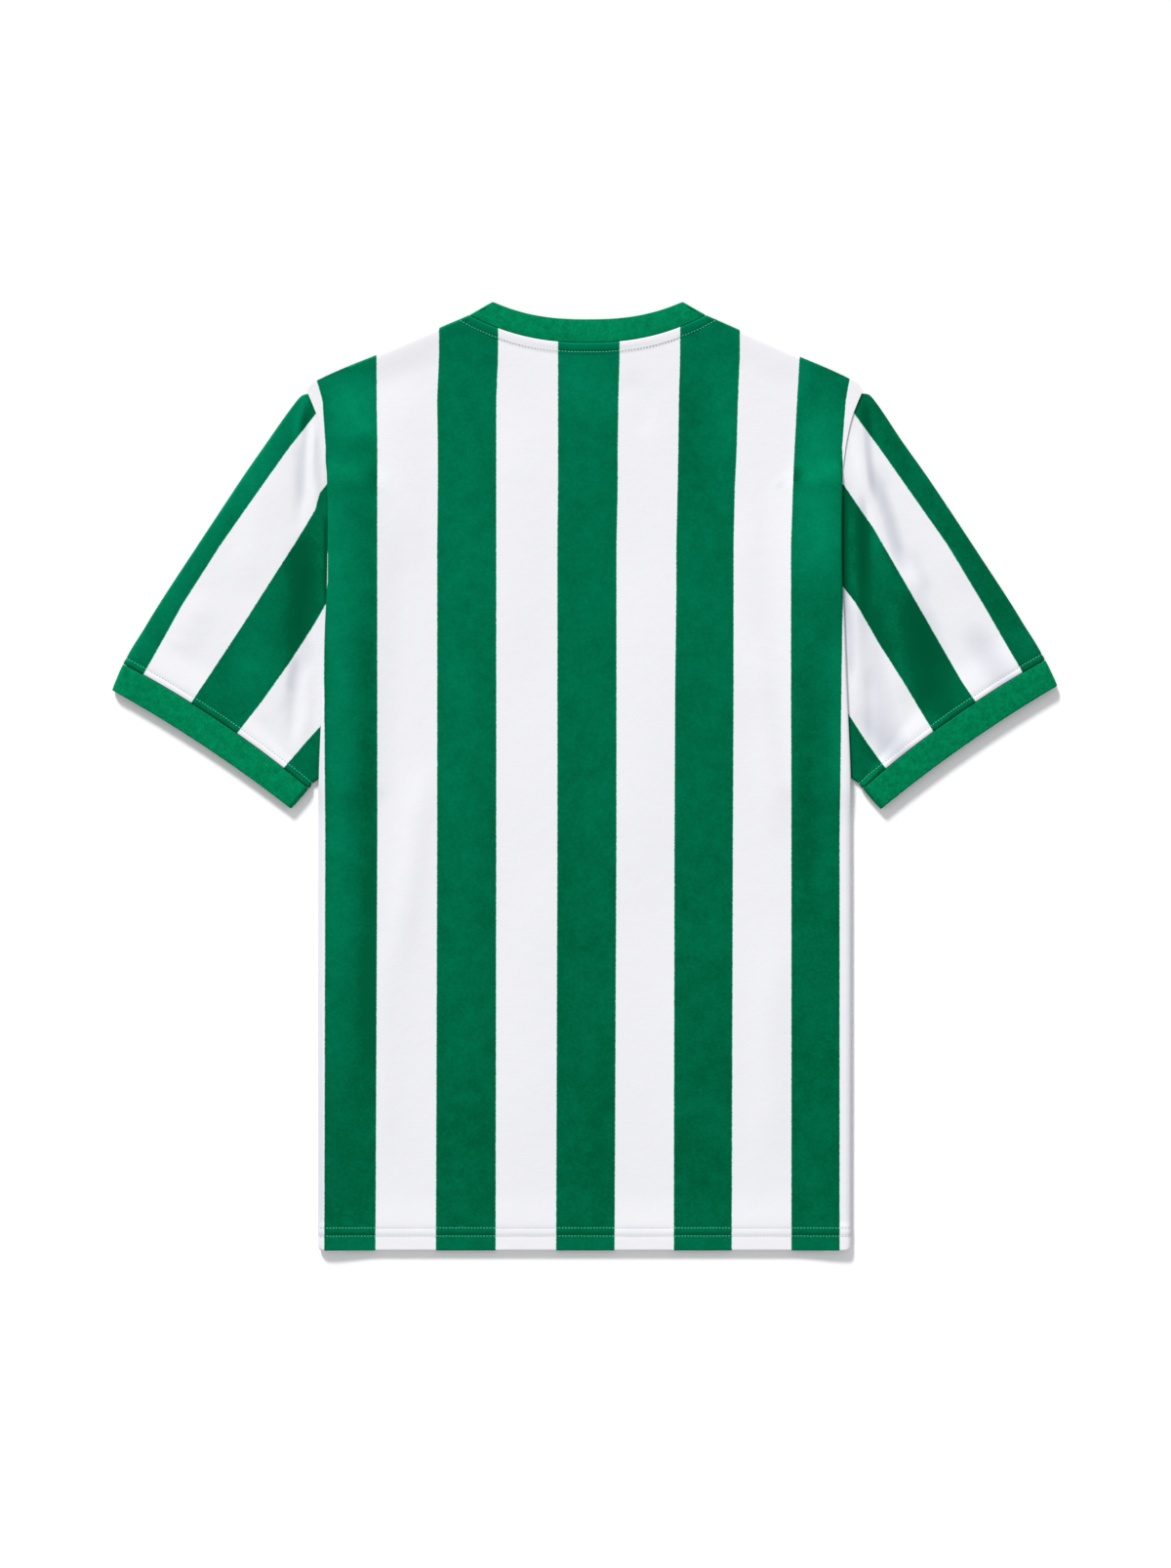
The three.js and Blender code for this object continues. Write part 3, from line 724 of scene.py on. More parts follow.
@dataclass(frozen=True)
class BodyCut:
    """The sizes and the lie of the jersey's body, which all its pieces share."""

    cloth: float = 1.2
    hem_cloth: float = 1.8
    rib: float = 1.8
    seam: float = 0.3
    length: float = 757.8
    hem_y: float = -378.9
    hem_depth: float = 19.0
    hem_step: float = 3.0
    hem_top: float = 4.7
    back_rest: float = 3.9
    back_lowest: float = 3.4
    tip: Point = (222.1, 307.9)
    morph_from: float = 140.0
    side_radius: float = 2.4
    lap_radius: float = 1.2
    lap_floor: float = 3.7
    lap: float = 1.2
    lap_ends: Point = (-36.0, -6.0)
    opening: Point = (225.0, 258.0)
    strip: float = 34.0
    lap_plateau: float = 22.0
    side_plateau: float = 5.0
    side_slope: float = 42.0
    tip_flat: Point = (206.0, 218.0)
    neck_x: float = 2.3
    neck_half: float = 94.5
    neck_y: float = 368.2
    neck_drop: float = 22.1
    neck_power: float = 2.3
    apex_half: float = 76.0
    apex_drop: float = 14.1
    apex_power: float = 2.45
    front_drop: float = 92.0
    front_band: float = 19.0
    front_power: float = 2.2
    neck_clear: float = 0.35
    back_neck_clear: float = 0.15
    neck_top: float = 4.3
    neck_strip: float = 7.5
    neck_rise: float = 0.6
    neck_blend: float = 4.0
    neck_reach: float = 50.0
    strip_step: float = 2.0
    shoulder_rise: Point = (30.0, 2.5)
    hem_rise: float = 26.0
    top_calm: Point = (2.0, 26.0)
    hem_calm: Point = (8.0, 32.0)
    collar_top: float = 4.4
    seam_past: float = 1.1
    settling: int = 12
    sides: Curve = Curve(
        (-378.9, 209.9), (-378.3, 211.7), (-377.4, 212.5), (-375.9, 212.9), (-50, 213), (4, 212.2),
        (47, 210.4), (78, 209), (121, 207.4), (152, 205.9), (190, 205.4), (230, 205.7), (246, 206.4),
        (264.6, 208.5), (285, 212.9), (299, 218.2), (307.9, 222.1),
    )
    folded_in: Curve = Curve(
        (-378.9, 16), (12, 15), (74, 12), (152, 6.5), (210, 2), (225, 1.5), (307.9, 1.5)
    )
    shoulder: Curve = Curve(
        (94.5, 368.2), (115.4, 359.2), (147.4, 345.1), (169.2, 335.7), (193, 325.9), (213, 316.6),
        (219, 312.4), (222.1, 307.9),
    )
    folds: tuple[Streak, ...] = (
        Streak((-150, 330), (-146, 250), (-150, 150), 22, 1.1),
        Streak((-127, 20), (-137, -60), (-153, -170), 12, 1.2),
        Streak((-160, -120), (-163, -210), (-158, -320), 14, 0.9),
        Streak((136, 120), (147, 30), (157, -60), 12, 1.3),
        Streak((120, 230), (128, 130), (124, 30), 18, 0.9),
        Streak((152, -110), (147, -220), (150, -330), 15, 0.9),
        Streak((-60, 300), (-52, 200), (-58, 60), 26, 0.8),
        Streak((40, 190), (52, 40), (44, -120), 30, 0.9),
        Streak((-30, -60), (-42, -180), (-34, -320), 28, 0.8),
        Streak((84, -140), (92, -240), (86, -340), 22, 0.7),
    )
    creases: tuple[Streak, ...] = (
        Streak((-200, 304), (-187, 262), (-176, 212), 10, 1.0),
        Streak((196, 300), (190, 250), (186, 196), 12, 0.9),
        Streak((-112, 352), (-96, 340), (-60, 330), 7, 0.5),
        Streak((30, 322), (46, 300), (50, 268), 9, -0.5),
        Streak((186, 148), (198, 150), (206, 150), 4, -0.5),
    )

    @property
    def corner(self) -> float:
        """Half width of the panels' neck, clear of the collar."""
        return self.neck_half + self.neck_clear

    @property
    def under_lap_top(self) -> float:
        """Height of a sleeve's top where it lies under the body."""
        return self.lap_floor - self.seam

    @property
    def shoulder_top(self) -> float:
        """Height of the back panel at the shoulder folds."""
        return self.lap_floor + self.cloth

    @property
    def shoulder_radius(self) -> float:
        """Radius of each panel's quarter turn at the shoulder, at the middle of its wall."""
        return (self.shoulder_top - self.cloth - self.seam) / 2

    @property
    def shoulder_reach(self) -> float:
        """How far in from the shoulder line that turn starts."""
        return self.shoulder_radius + self.cloth / 2

    def wall(self, y: Reals) -> Reals:
        """The body's wall, thicker at the hem."""
        top = self.hem_y + self.hem_depth
        return mix(self.hem_cloth, self.cloth, smooth(top, top + self.hem_step, y))

    def side_fold(self, y: Reals) -> SideFold:
        """Work out the side fold.

        Args:
            y: Heights along the jersey.

        Returns:
            Where its bend starts, how far it turns, where the cloth ends and how high it stands.
        """
        wall = self.wall(y)
        lap = smooth(*self.lap_ends, y)
        radius = mix(self.side_radius, self.lap_radius, lap)
        opened = smooth(*self.opening, y)
        turn = math.pi * (1 - opened)
        half = self.sides(y)
        width = self.folded_in(y)
        bulge = (radius + wall / 2) * np.sin(np.minimum(turn, math.pi / 2))
        start = half - bulge - width * np.maximum(np.cos(turn), 0)
        edge = start + radius * np.sin(turn) + width * np.cos(turn)
        depth = radius * (1 - np.cos(turn)) + width * np.sin(turn)
        top = self.lap_floor * lap + depth + wall / 2 * (1 + np.abs(np.cos(turn)))
        return SideFold(wall, lap, radius, opened, turn, half, width, start, edge, top)

    def armhole(self, y: Reals) -> Reals:
        """The armhole's edge, measured outwards. Where the fold is open the sleeve reaches under it."""
        fold = self.side_fold(y)
        return fold.edge - self.lap * fold.opened

    def from_neck(self, x: Reals) -> Array:
        """Distance from the neck's middle, evened out so that both shoulders read alike."""
        out = np.abs(x - self.neck_x)
        room = self.tip[0] - np.sign(x - self.neck_x) * self.neck_x - self.neck_half
        beyond = self.neck_half + (out - self.neck_half) * (self.tip[0] - self.neck_half) / room
        return np.where(out <= self.neck_half, out, beyond)

    def back_seam(self, out: Reals) -> Reals:
        """The neck seam at the back, as a height on the page."""
        return self.neck_y - self.neck_drop * (1 - (out / self.neck_half) ** self.neck_power)

    def back_slope(self, out: Reals) -> Reals:
        """How steeply that seam rises outwards."""
        power = self.neck_power
        return self.neck_drop * power / self.neck_half * (out / self.neck_half) ** (power - 1)

    def front_curve(self, share: Reals) -> Reals:
        """The front neckline's drop at a share of its half width, from 1 in the middle to 0."""
        power = self.front_power
        return (1 - np.minimum(share, 1.0) ** power) ** (1 / power)

    def back_top(self, x: Reals) -> Array:
        """The back panel's upper edge: the shoulder fold, with the neck between."""
        out = self.from_neck(x)
        neck = self.back_seam(np.minimum(out, self.neck_half)) - self.back_neck_clear
        return np.where(out >= self.corner - SAME, self.shoulder(out), neck)

    def front_top(self, x: Reals) -> Array:
        """The front panel's upper edge."""
        out = self.from_neck(x)
        drop = (self.front_drop + self.neck_clear) * self.front_curve(out / self.corner)
        return np.where(out >= self.corner - SAME, self.shoulder(out), self.shoulder(self.corner) - drop)

    def under_seam(self, x: Reals, y: Reals) -> Reals:
        """How far a place is below the back neck seam, square to it."""
        out = np.minimum(np.abs(x - self.neck_x), self.neck_half * self.seam_past)
        return (self.back_seam(out) - y) / np.sqrt(1 + self.back_slope(out) ** 2)

    def back_height(self, x: Reals, y: Reals) -> Array:
        """Work out how high the back panel lies.

        Args:
            x: Places across the jersey.
            y: Places along it.

        Returns:
            The height of the panel's top.
        """
        fold = self.side_fold(y)
        below = self.back_top(x) - y
        at_neck = smooth(self.corner, self.corner - self.neck_blend, self.from_neck(x))
        shoulder = (self.shoulder_top - self.back_rest) * smooth(*self.shoulder_rise, below)
        strip = self.neck_rise * smooth(self.neck_strip + self.strip_step, self.neck_strip, below)
        neck = (self.neck_top - self.back_rest) * smooth(self.neck_reach, self.neck_strip, below) + strip
        hem_edge = self.hem_y + self.hem_depth
        hem = (self.hem_top - self.back_rest) * smooth(hem_edge + self.hem_rise, hem_edge, y)
        slack = total(self.folds, x, y) + total(self.creases, x, y) + ripple(x, y)
        calm = smooth(*self.top_calm, below) * smooth(*self.hem_calm, y - self.hem_y)
        rest = self.back_rest + mix(shoulder, neck, at_neck) + hem + slack * calm
        plateau = mix(self.side_plateau, self.lap_plateau, fold.lap) * (1 - fold.opened)
        beside = smooth(plateau + self.side_slope, plateau, fold.half - np.abs(x))
        return mix(np.maximum(rest, self.back_lowest), fold.top, beside)

    def rows(self, top: Edge, half: Edge, heights: Array, steps: int) -> list[Row]:
        """List a panel's rows.

        Args:
            top: The panel's upper edge.
            half: Its half width at a height.
            heights: The rows below the shoulder's turn.
            steps: How many steps the turn has.

        Returns:
            The rows, each with its height at the panel's own outline.
        """
        rows = [Row(float(y)) for y in heights]
        for turned in np.linspace(0, 1, steps + 1):
            reach = self.shoulder_reach * (1 - turned)
            y = self.tip[1] - reach
            for _ in range(self.settling):
                y = float(top(half(y))) - reach
            rows.append(Row(y, float(turned)))
        return rows

    def on_page(self, row: Row, x: Array, top: Edge, half: float) -> tuple[Array, Array, Array]:
        """Place a row on the page.

        Args:
            row: The row.
            x: Places across it.
            top: The panel's upper edge.
            half: The panel's half width at the row.

        Returns:
            The height on the page, the drop into the shoulder's turn, and the turn's angle.
        """
        if row.turned is None:
            bend = smooth(self.morph_from, self.tip[1] - self.shoulder_reach, row.y)
            flat = np.zeros_like(x)
            return row.y + bend * (top(x) - top(half)), flat, flat
        in_neck = self.from_neck(x) < self.corner - SAME
        flat = np.where(in_neck, 1.0, smooth(*self.tip_flat, np.abs(x)))
        angle = math.pi / 2 * row.turned
        reach = mix(self.shoulder_radius * math.sin(angle), self.shoulder_reach * row.turned, flat)
        drop = self.shoulder_radius * (1 - math.cos(angle)) * (1 - flat)
        return top(x) - self.shoulder_reach + reach, drop, angle * (1 - flat)

    def columns(self, half: float, neck: Array, steps: int) -> Array:
        """Places across a panel, with one on each corner of the neck.

        Args:
            half: The half width to reach on each side.
            neck: Shares of the neck's half width, from 0.
            steps: How many steps each shoulder has.

        Returns:
            The places, from left to right.
        """
        sides = []
        for sign in (-1, 1):
            corner = self.neck_x + sign * self.corner
            inside = self.neck_x + sign * neck * self.corner
            sides.append(np.concatenate([inside, np.linspace(corner, sign * half, steps + 1)]))
        return np.concatenate([sides[0][::-1], sides[1][1:]])


@dataclass(frozen=True)
class BodyStripes:
    """The edges of the body's stripes across the jersey, from left to right, at some heights."""

    heights: tuple[float, ...] = (336, 300, 262, 230, 184, 178, 154, 144, 74, -50, -370)
    edges: tuple[tuple[float, ...], ...] = (
        (-220, -166, -116.5, -69, -21.5, 28, 76, 124, 171.5, 215),
        (-209.5, -166, -118, -70.5, -21.5, 27, 75, 122.5, 169.5, 208.5),
        (-207, -165.5, -117.5, -70.5, -21.5, 26.5, 74.5, 121.5, 167.5, 205.6),
        (-207, -165.5, -117.5, -70.5, -21.5, 26.5, 74, 120, 166, 206.6),
        (-207.3, -165.5, -118, -70.5, -22, 25.5, 73, 119, 164.5, 206.6),
        (-204.9, -165.5, -118, -70.5, -22, 25.5, 73, 119, 164.5, 206.5),
        (-205, -165.5, -118, -70.5, -22, 25.5, 73, 119, 164.5, 206.2),
        (-207.4, -165.5, -118, -70.5, -22, 25.5, 73, 119, 164.5, 206),
        (-208, -165.5, -118, -70.5, -22, 25.5, 72, 119, 164.5, 205),
        (-207.2, -165.5, -118, -70.5, -22, 25.5, 71.5, 118.5, 165, 203.5),
        (-208, -167, -119, -71, -23, 24, 71, 117.5, 165, 203.5),
    )
    pitch: float = 48.0

    def at(self, x: Array, y: Array) -> Array:
        """Count the stripe edges passed on the way across, with the share of the next stripe.

        Args:
            x: Places across the cloth, laid out flat.
            y: Places along the jersey.

        Returns:
            The count, from 0 at the left green stripe's outer edge.
        """
        heights = np.array(self.heights[::-1], float)
        table = np.array(self.edges[::-1], float)
        at = [np.interp(y, heights, table[:, k]) for k in range(table.shape[1])]
        count = np.minimum((x - at[0]) / self.pitch, 0.0)
        for left, right in zip(at, at[1:]):
            count = count + np.clip((x - left) / (right - left), 0.0, 1.0)
        return count + np.maximum((x - at[-1]) / self.pitch, 0.0)


def panel_grid(places: list[tuple[Array, Array, Array, Array]]) -> list[Array]:
    """Stack the rows' middle places, sides, walls and patterns into grids."""
    return [np.stack([row[k] for row in places]) for k in range(4)]


@dataclass
class BackPanel:
    """The back of the jersey, which faces up, with its sides folded round to the underside.

    A place named at is the middle and the width of a line, measured up from the hem or down from the neck
    seam. The hem's and the neck's lines of painted highlight and painted shade also have a strength.
    """

    cut: BodyCut
    stripes: BodyStripes
    neck_steps: int = 46
    shoulder_steps: int = 38
    turn_rows: int = 8
    strip_steps: int = 17
    bend_steps: int = 9
    under_shares: tuple[float, ...] = (0.3, 0.65, 0.97, 1.0)
    stitch_rows: Point = (11.5, 18.1)
    groove: float = 0.16
    groove_width: float = 0.9
    sunk: float = 0.4
    neck_groove: float = 0.5
    neck_groove_at: Point = (6.7, 0.6)
    neck_fade: float = 1.12
    hem_puff: float = 0.12
    puff_at: Point = (14.8, 2.2)
    puff_uneven: float = 0.5
    pucker: float = 0.07
    pucker_at: Point = (9.0, 7.0)
    stitch_floor: float = 0.2
    sewn_points: int = 160
    sewn_past_neck: float = 6.5
    sewn_above: float = 0.06
    # Painted light: lines of painted highlight and painted shade along the hem's stitch rows and below the
    # neck seam.
    hem_painted_lines: tuple[tuple[float, float, float], ...] = ((16.5, 0.9, 0.1), (12.7, 0.8, -0.35))
    neck_painted_lines: tuple[tuple[float, float, float], ...] = ((1.0, 0.8, 0.35), (6.6, 0.5, -0.6))
    # Painted light: the panel painted brighter towards the shoulders and in a band at the hem, darker in
    # between.
    shine: Curve = Curve(
        (-378.9, 0.28), (-369, 0.26), (-366, 0.12), (-200, 0.12), (0, 0.2), (180, 0.26), (378.9, 0.3)
    )
    # Patches of painted highlight and painted shade.
    painted_patches: tuple[Streak, ...] = (
        Streak((-204, 350), (-198, 60), (-201, -350), 15, 0.24),
        Streak((-192, 330), (-183, 292), (-180, 262), 20, 0.45),
        Streak((-174, 190), (-172, -80), (-175, -320), 8, -0.16),
        Streak((-106, 340), (-104, 60), (-92, -360), 18, 0.08),
        Streak((-30, 340), (2, 310), (36, 300), 26, 0.14),
        Streak((82, 330), (86, 250), (84, 190), 14, -0.1),
        Streak((112, 340), (113, 290), (112, 240), 12, 0.12),
        Streak((176, 340), (172, 318), (168, 296), 7, 0.2),
        Streak((186, 320), (186, 220), (188, 140), 20, 0.34),
        Streak((200, 130), (203, 60), (200, -40), 8, 0.2),
        Streak((176, 120), (176, 0), (178, -140), 9, -0.14),
        # Painted shade along both folded side edges.
        Streak((-209, 330), (-212, -150), (-212, -640), 3.5, -0.5),
        Streak((207, 330), (212, -150), (212, -640), 3.5, -0.4),
        # Painted shade that damps a bright glint where the panel slopes down near each armhole.
        Streak((147, 225), (161, 236), (177, 241), 7, -0.45),
        Streak((160, 242), (176, 243), (196, 244), 5, -0.2),
        Streak((-178, 243), (-162, 238), (-148, 234), 6, -0.25),
    )

    def heights(self) -> Array:
        """List the rows' heights.

        Returns:
            The heights, close together at the hem and towards the shoulders.
        """
        hem = [0, 0.12, 0.4, 0.9, 1.8, 4, 7, 9.5, 10.6, 11.5, 12.4, 13.6, 16, 17.2, 18.1, 19, 20, 22, 25]
        close = [298.4, 298.9, 299.3, 299.7, 300.1, 300.5, 300.9, 301.3, 301.8, 302.5, 303.4, 304.3, 305]
        even = [np.arange(*span) for span in ((-349, -20, 6.0), (-20, 140, 4.0), (140, 297, 3.1))]
        return np.concatenate([np.array(hem) + self.cut.hem_y, *even, close])

    def row(self, row: Row) -> tuple[Array, Array, Array, Array]:
        """Lay out one row across the panel.

        Args:
            row: The row.

        Returns:
            The middle places, the outward sides, the walls and the pattern.
        """
        cut = self.cut
        fold = cut.side_fold(row.y)
        inner = fold.half - cut.strip
        middle = cut.columns(inner, np.linspace(0, 1, self.neck_steps + 1)[:-1], self.shoulder_steps)
        y, drop, angle = cut.on_page(row, middle, cut.back_top, fold.half)
        height = cut.back_height(middle, y) - fold.wall / 2 - drop
        flat_at = stack(middle, y, height)
        flat_side = stack(0 * middle, np.sin(angle), np.cos(angle))
        flat_pattern = stack(self.stripes.at(middle, y), y * METRES)

        flat = fold.start - inner
        arc = fold.radius * fold.turn
        ends = [np.linspace(-flat, 0, self.strip_steps)[1:], np.linspace(0, arc, self.bend_steps)[1:]]
        distance = np.concatenate([*ends, arc + fold.width * np.array(self.under_shares)])
        spread = np.linspace(-flat, arc + fold.width, distance.size + 1)[1:]
        distance = mix(distance, spread, fold.opened)
        bend = np.clip(distance, 0, arc) / fold.radius
        past = np.maximum(distance - arc, 0)
        x = fold.start + np.minimum(distance, 0) + fold.radius * np.sin(bend) + past * np.cos(fold.turn)
        drop = fold.radius * (1 - np.cos(bend)) + past * np.sin(fold.turn)
        parts = {}
        for sign in (-1, 1):
            page = cut.on_page(row, sign * x, cut.back_top, fold.half)[0]
            start = cut.on_page(row, np.full_like(x, sign * fold.start), cut.back_top, fold.half)[0]
            folded = drop > 0
            top = cut.back_height(
                np.where(folded, sign * fold.start, sign * x), np.where(folded, start, page)
            )
            at = stack(sign * x, page, top - fold.wall / 2 - drop)
            side = stack(sign * np.sin(bend), 0 * x, np.cos(bend))
            pattern = stack(self.stripes.at(sign * (fold.start + distance), page), page * METRES)
            parts[sign] = (at, side, pattern)
        joined = [
            np.concatenate([left[::-1], middle_part, right])
            for left, middle_part, right in zip(parts[-1], (flat_at, flat_side, flat_pattern), parts[1])
        ]
        wall = np.full(joined[0].shape[0], float(fold.wall))
        return joined[0], joined[1], wall, joined[2]

    def relief(self, x: Array, y: Array) -> Array:
        """The hem's and the neck strip's stitched relief.

        Args:
            x: Places across the jersey.
            y: Places along it.

        Returns:
            How far the outer face stands out, below 0 in the grooves of the stitches.
        """
        above = y - self.cut.hem_y
        uneven = pucker(x)
        relief = self.hem_puff * bell(above, self.puff_at) * (1 + self.puff_uneven * uneven)
        relief = relief + self.pucker * uneven * bell(above, self.pucker_at)
        for stitches in self.stitch_rows:
            relief = relief - self.groove * hump(above - stitches, self.groove_width)
        return relief - self.neck_groove * self.at_neck(x, y, *self.neck_groove_at)

    def at_neck(self, x: Array, y: Array, below: float, width: float) -> Array:
        """A soft line that follows the neck seam at a distance below it."""
        cut = self.cut
        beyond = smooth(cut.neck_half * self.neck_fade, cut.neck_half, np.abs(x - cut.neck_x))
        return beyond * hump(cut.under_seam(x, y) - below, width)

    def lustre(self, x: Array, y: Array) -> Array:
        """Work out the panel's painted light, painted sheen and painted shade in its colour.

        Args:
            x: Places across the jersey.
            y: Places along it.

        Returns:
            The painted light: painted shade above each row of stitches and a painted highlight under the neck
                seam, over the painted gradient and the painted patches.
        """
        above = y - self.cut.hem_y
        hem = sum(strength * hump(above - at, width) for at, width, strength in self.hem_painted_lines)
        seams = sum(
            strength * self.at_neck(x, y, below, width) for below, width, strength in self.neck_painted_lines
        )
        return self.shine(y) + total(self.painted_patches, x, y) + hem + seams

    def shell(self) -> Shell:
        """Lay out the whole panel.

        Returns:
            Its shell.
        """
        cut = self.cut
        rows = cut.rows(cut.back_top, cut.sides, self.heights(), self.turn_rows)
        middle, side, wall, pattern = panel_grid([self.row(row) for row in rows])
        x, y = middle[..., 0], middle[..., 1]
        neck = np.where(cut.from_neck(x) < cut.corner, cut.back_top(x) - y, cut.cloth)
        wall = np.minimum(thinned(wall, y - cut.hem_y), thinned(wall, neck))
        relief = self.relief(x, y) * (side[..., 2] > -FACING)
        return Shell(middle, side, wall, pattern, relief, self.lustre(x, y))

    def build(self, finish: bpy.types.Material) -> bpy.types.Object:
        """Make the panel."""
        return self.shell().build("back_cloth", finish)

    def hem_stitches(self) -> list[Path]:
        """Lay out the hem's two rows of stitches.

        Returns:
            Their paths, on the outer face.
        """
        paths = []
        for above in self.stitch_rows:
            middle, side, wall, pattern = self.row(Row(self.cut.hem_y + above))
            places = middle + side * (wall / 2 - self.groove * self.sunk)[:, None]
            places[:, 2] = np.maximum(places[:, 2], self.stitch_floor)
            paths.append(Path(places, pattern[:, 0]))
        return paths

    def neck_stitches(self) -> list[Path]:
        """Lay out the stitches below the neck seam.

        Returns:
            Their path.
        """
        cut = self.cut
        x = np.linspace(-1, 1, self.sewn_points) * (cut.neck_half + self.sewn_past_neck)
        out = np.abs(x)
        below = cut.neck_strip * np.sqrt(1 + cut.back_slope(out) ** 2)
        y = cut.back_seam(out) - below
        x = x + cut.neck_x
        height = cut.back_height(x, y) + self.relief(x, y)
        return [Path(stack(x, y, height + self.sewn_above), self.stripes.at(x, y))]


@dataclass
class FrontPanel:
    """The front of the jersey, face down on the surface."""

    cut: BodyCut
    stripes: BodyStripes
    neck_steps: int = 28
    shoulder_steps: int = 18
    turn_rows: int = 6
    stitch_rows: Point = (11.5, 18.1)
    stitch_height: float = 0.16
    hem_points: int = 60
    hem_inset: float = 1.0
    neck_points: int = 121
    neck_share: float = 0.985

    def edge(self, y: Reals) -> Reals:
        """Half its width."""
        return self.cut.armhole(y) - self.cut.seam

    def row(self, row: Row) -> tuple[Array, Array, Array, Array]:
        """Lay out one row across the panel.

        Args:
            row: The row.

        Returns:
            The middle places, the outward sides, the walls and the pattern.
        """
        cut = self.cut
        half = float(self.edge(row.y))
        neck = np.sin(np.linspace(0, math.pi / 2, self.neck_steps + 1))[:-1]
        x = cut.columns(half, neck, self.shoulder_steps)
        y, drop, angle = cut.on_page(row, x, cut.front_top, half)
        wall = float(cut.wall(row.y))
        at = stack(x, y, wall / 2 + drop)
        side = stack(0 * x, -np.sin(angle), np.cos(angle))
        return at, side, np.full(x.shape, wall), stack(self.stripes.at(x, y), y * METRES)

    def shell(self) -> Shell:
        """Lay out the whole panel.

        Returns:
            Its shell.
        """
        cut = self.cut
        above = [0, 0.12, 0.4, 0.9, 3, 8, 13, 17, 19, 20.5, 22]
        heights = np.concatenate([np.array(above) + cut.hem_y, np.arange(-345, 303, 9.0), [301, 303.5]])
        rows = cut.rows(cut.front_top, self.edge, heights, self.turn_rows)
        middle, side, wall, pattern = panel_grid([self.row(row) for row in rows])
        full = wall
        wall = thinned(wall, middle[..., 1] - cut.hem_y)
        middle[..., 2] += (wall - full) / 2 * (middle[..., 1] < 0)
        return Shell(middle, side, wall, pattern, np.zeros(wall.shape))

    def build(self, finish: bpy.types.Material) -> bpy.types.Object:
        """Make the panel."""
        return self.shell().build("front_cloth", finish)

    def stitches(self) -> list[Path]:
        """Lay out its stitches.

        Returns:
            Their paths on its underside: two at the hem and one round the neck.
        """
        cut = self.cut
        paths = []
        for above in self.stitch_rows:
            y = cut.hem_y + above
            x = np.linspace(-1, 1, self.hem_points) * (self.edge(y) - self.hem_inset)
            paths.append(Path(stack(x, y, self.stitch_height), self.stripes.at(x, y)))
        turns = np.linspace(-1, 1, self.neck_points) * math.pi / 2 * self.neck_share
        x = cut.neck_x + cut.corner * np.sin(turns)
        edge = stack(x, cut.front_top(x))
        along = unit(np.gradient(edge, axis=0))
        away = edge + cut.neck_strip * stack(along[:, 1], -along[:, 0])
        x, y = away[:, 0], away[:, 1]
        paths.append(Path(stack(x, y, self.stitch_height), self.stripes.at(x, y)))
        return paths


@dataclass(frozen=True)
class SleeveCut:
    """A sleeve's own sizes, with X measured outwards: the ends of its cuff seam and of its cuff's edge,
    how much further its upper fold bows below the shoulder, its folds, and the edges of its stripes
    from the upper fold inwards."""

    side: Side
    seam_top: Point
    seam_under: Point
    edge_top: Point
    edge_under: Point
    shoulder_bow: float
    folds: tuple[Streak, ...]
    creases: tuple[Streak, ...]
    # Patches of painted highlight and painted shade.
    painted_patches: tuple[Streak, ...]
    # The cuff's painted brightness, painted light.
    rib_painted_light: float
    stripes: tuple[tuple[Point, ...], ...]


LEFT_SLEEVE = SleeveCut(
    side=Side.LEFT,
    seam_top=(368.4, 89.9),
    seam_under=(220.2, -9.6),
    edge_top=(377.3, 68.8),
    edge_under=(234.4, -25.9),
    shoulder_bow=0.5,
    folds=(
        Streak((252, 262), (264, 200), (270, 140), 17, 0.9),
        Streak((226, 190), (229, 130), (233, 60), 9, -1.0),
        Streak((300, 150), (318, 118), (330, 92), 14, 0.8),
        Streak((262, 96), (266, 62), (262, 30), 11, 0.8),
    ),
    creases=(
        Streak((214, 296), (216.5, 250), (214, 196), 4.5, 1.3),
        Streak((224, 300), (226.5, 250), (227.5, 190), 4.5, -1.2),
        Streak((219, 176), (224, 130), (228, 70), 7, -0.8),
        Streak((230, 100), (232, 62), (234, 20), 5, -1.0),
        Streak((222, 92), (221, 60), (224, 22), 5, 0.6),
    ),
    # Painted highlights along fold ridges, painted shade in hollows, and a painted shadow of the body's edge
    # on the sleeve.
    painted_patches=(
        Streak((221, 310), (228.5, 286), (231, 258), 3.5, 0.6),
        Streak((223, 310), (225, 262), (228, 196), 5, -0.42),
        Streak((214, 282), (215.5, 254), (215, 224), 3, -0.45),
        Streak((226, 210), (224, 150), (230, 92), 12, -0.3),
        Streak((230, 100), (234, 82), (238, 64), 4, -0.3),
        Streak((206.4, 214), (206.4, 176), (206.8, 132), 1.8, -0.8),
        Streak((214, 120), (226, 84), (258, 24), 9, -0.3),
        Streak((196, 350), (280, 228), (400, 30), 12, 0.26),
        Streak((238, 288), (256, 250), (276, 212), 14, 0.1),
        Streak((264, 170), (268, 118), (258, 50), 22, 0.14),
    ),
    # The cuff's painted brightness.
    rib_painted_light=0.17,
    stripes=(
        ((214, 290), (236, 262), (291, 184), (321, 137), (352, 81)),
        (
            (207, 232), (211.8, 226), (213.4, 220.5), (215.2, 213), (218.7, 207), (230.2, 188),
            (273, 121), (314, 59),
        ),
        ((208, 135), (216, 121), (236, 90), (258, 59), (277, 34.5)),
        ((212, 39), (222.5, 27.5), (240, 7)),
    ),
)
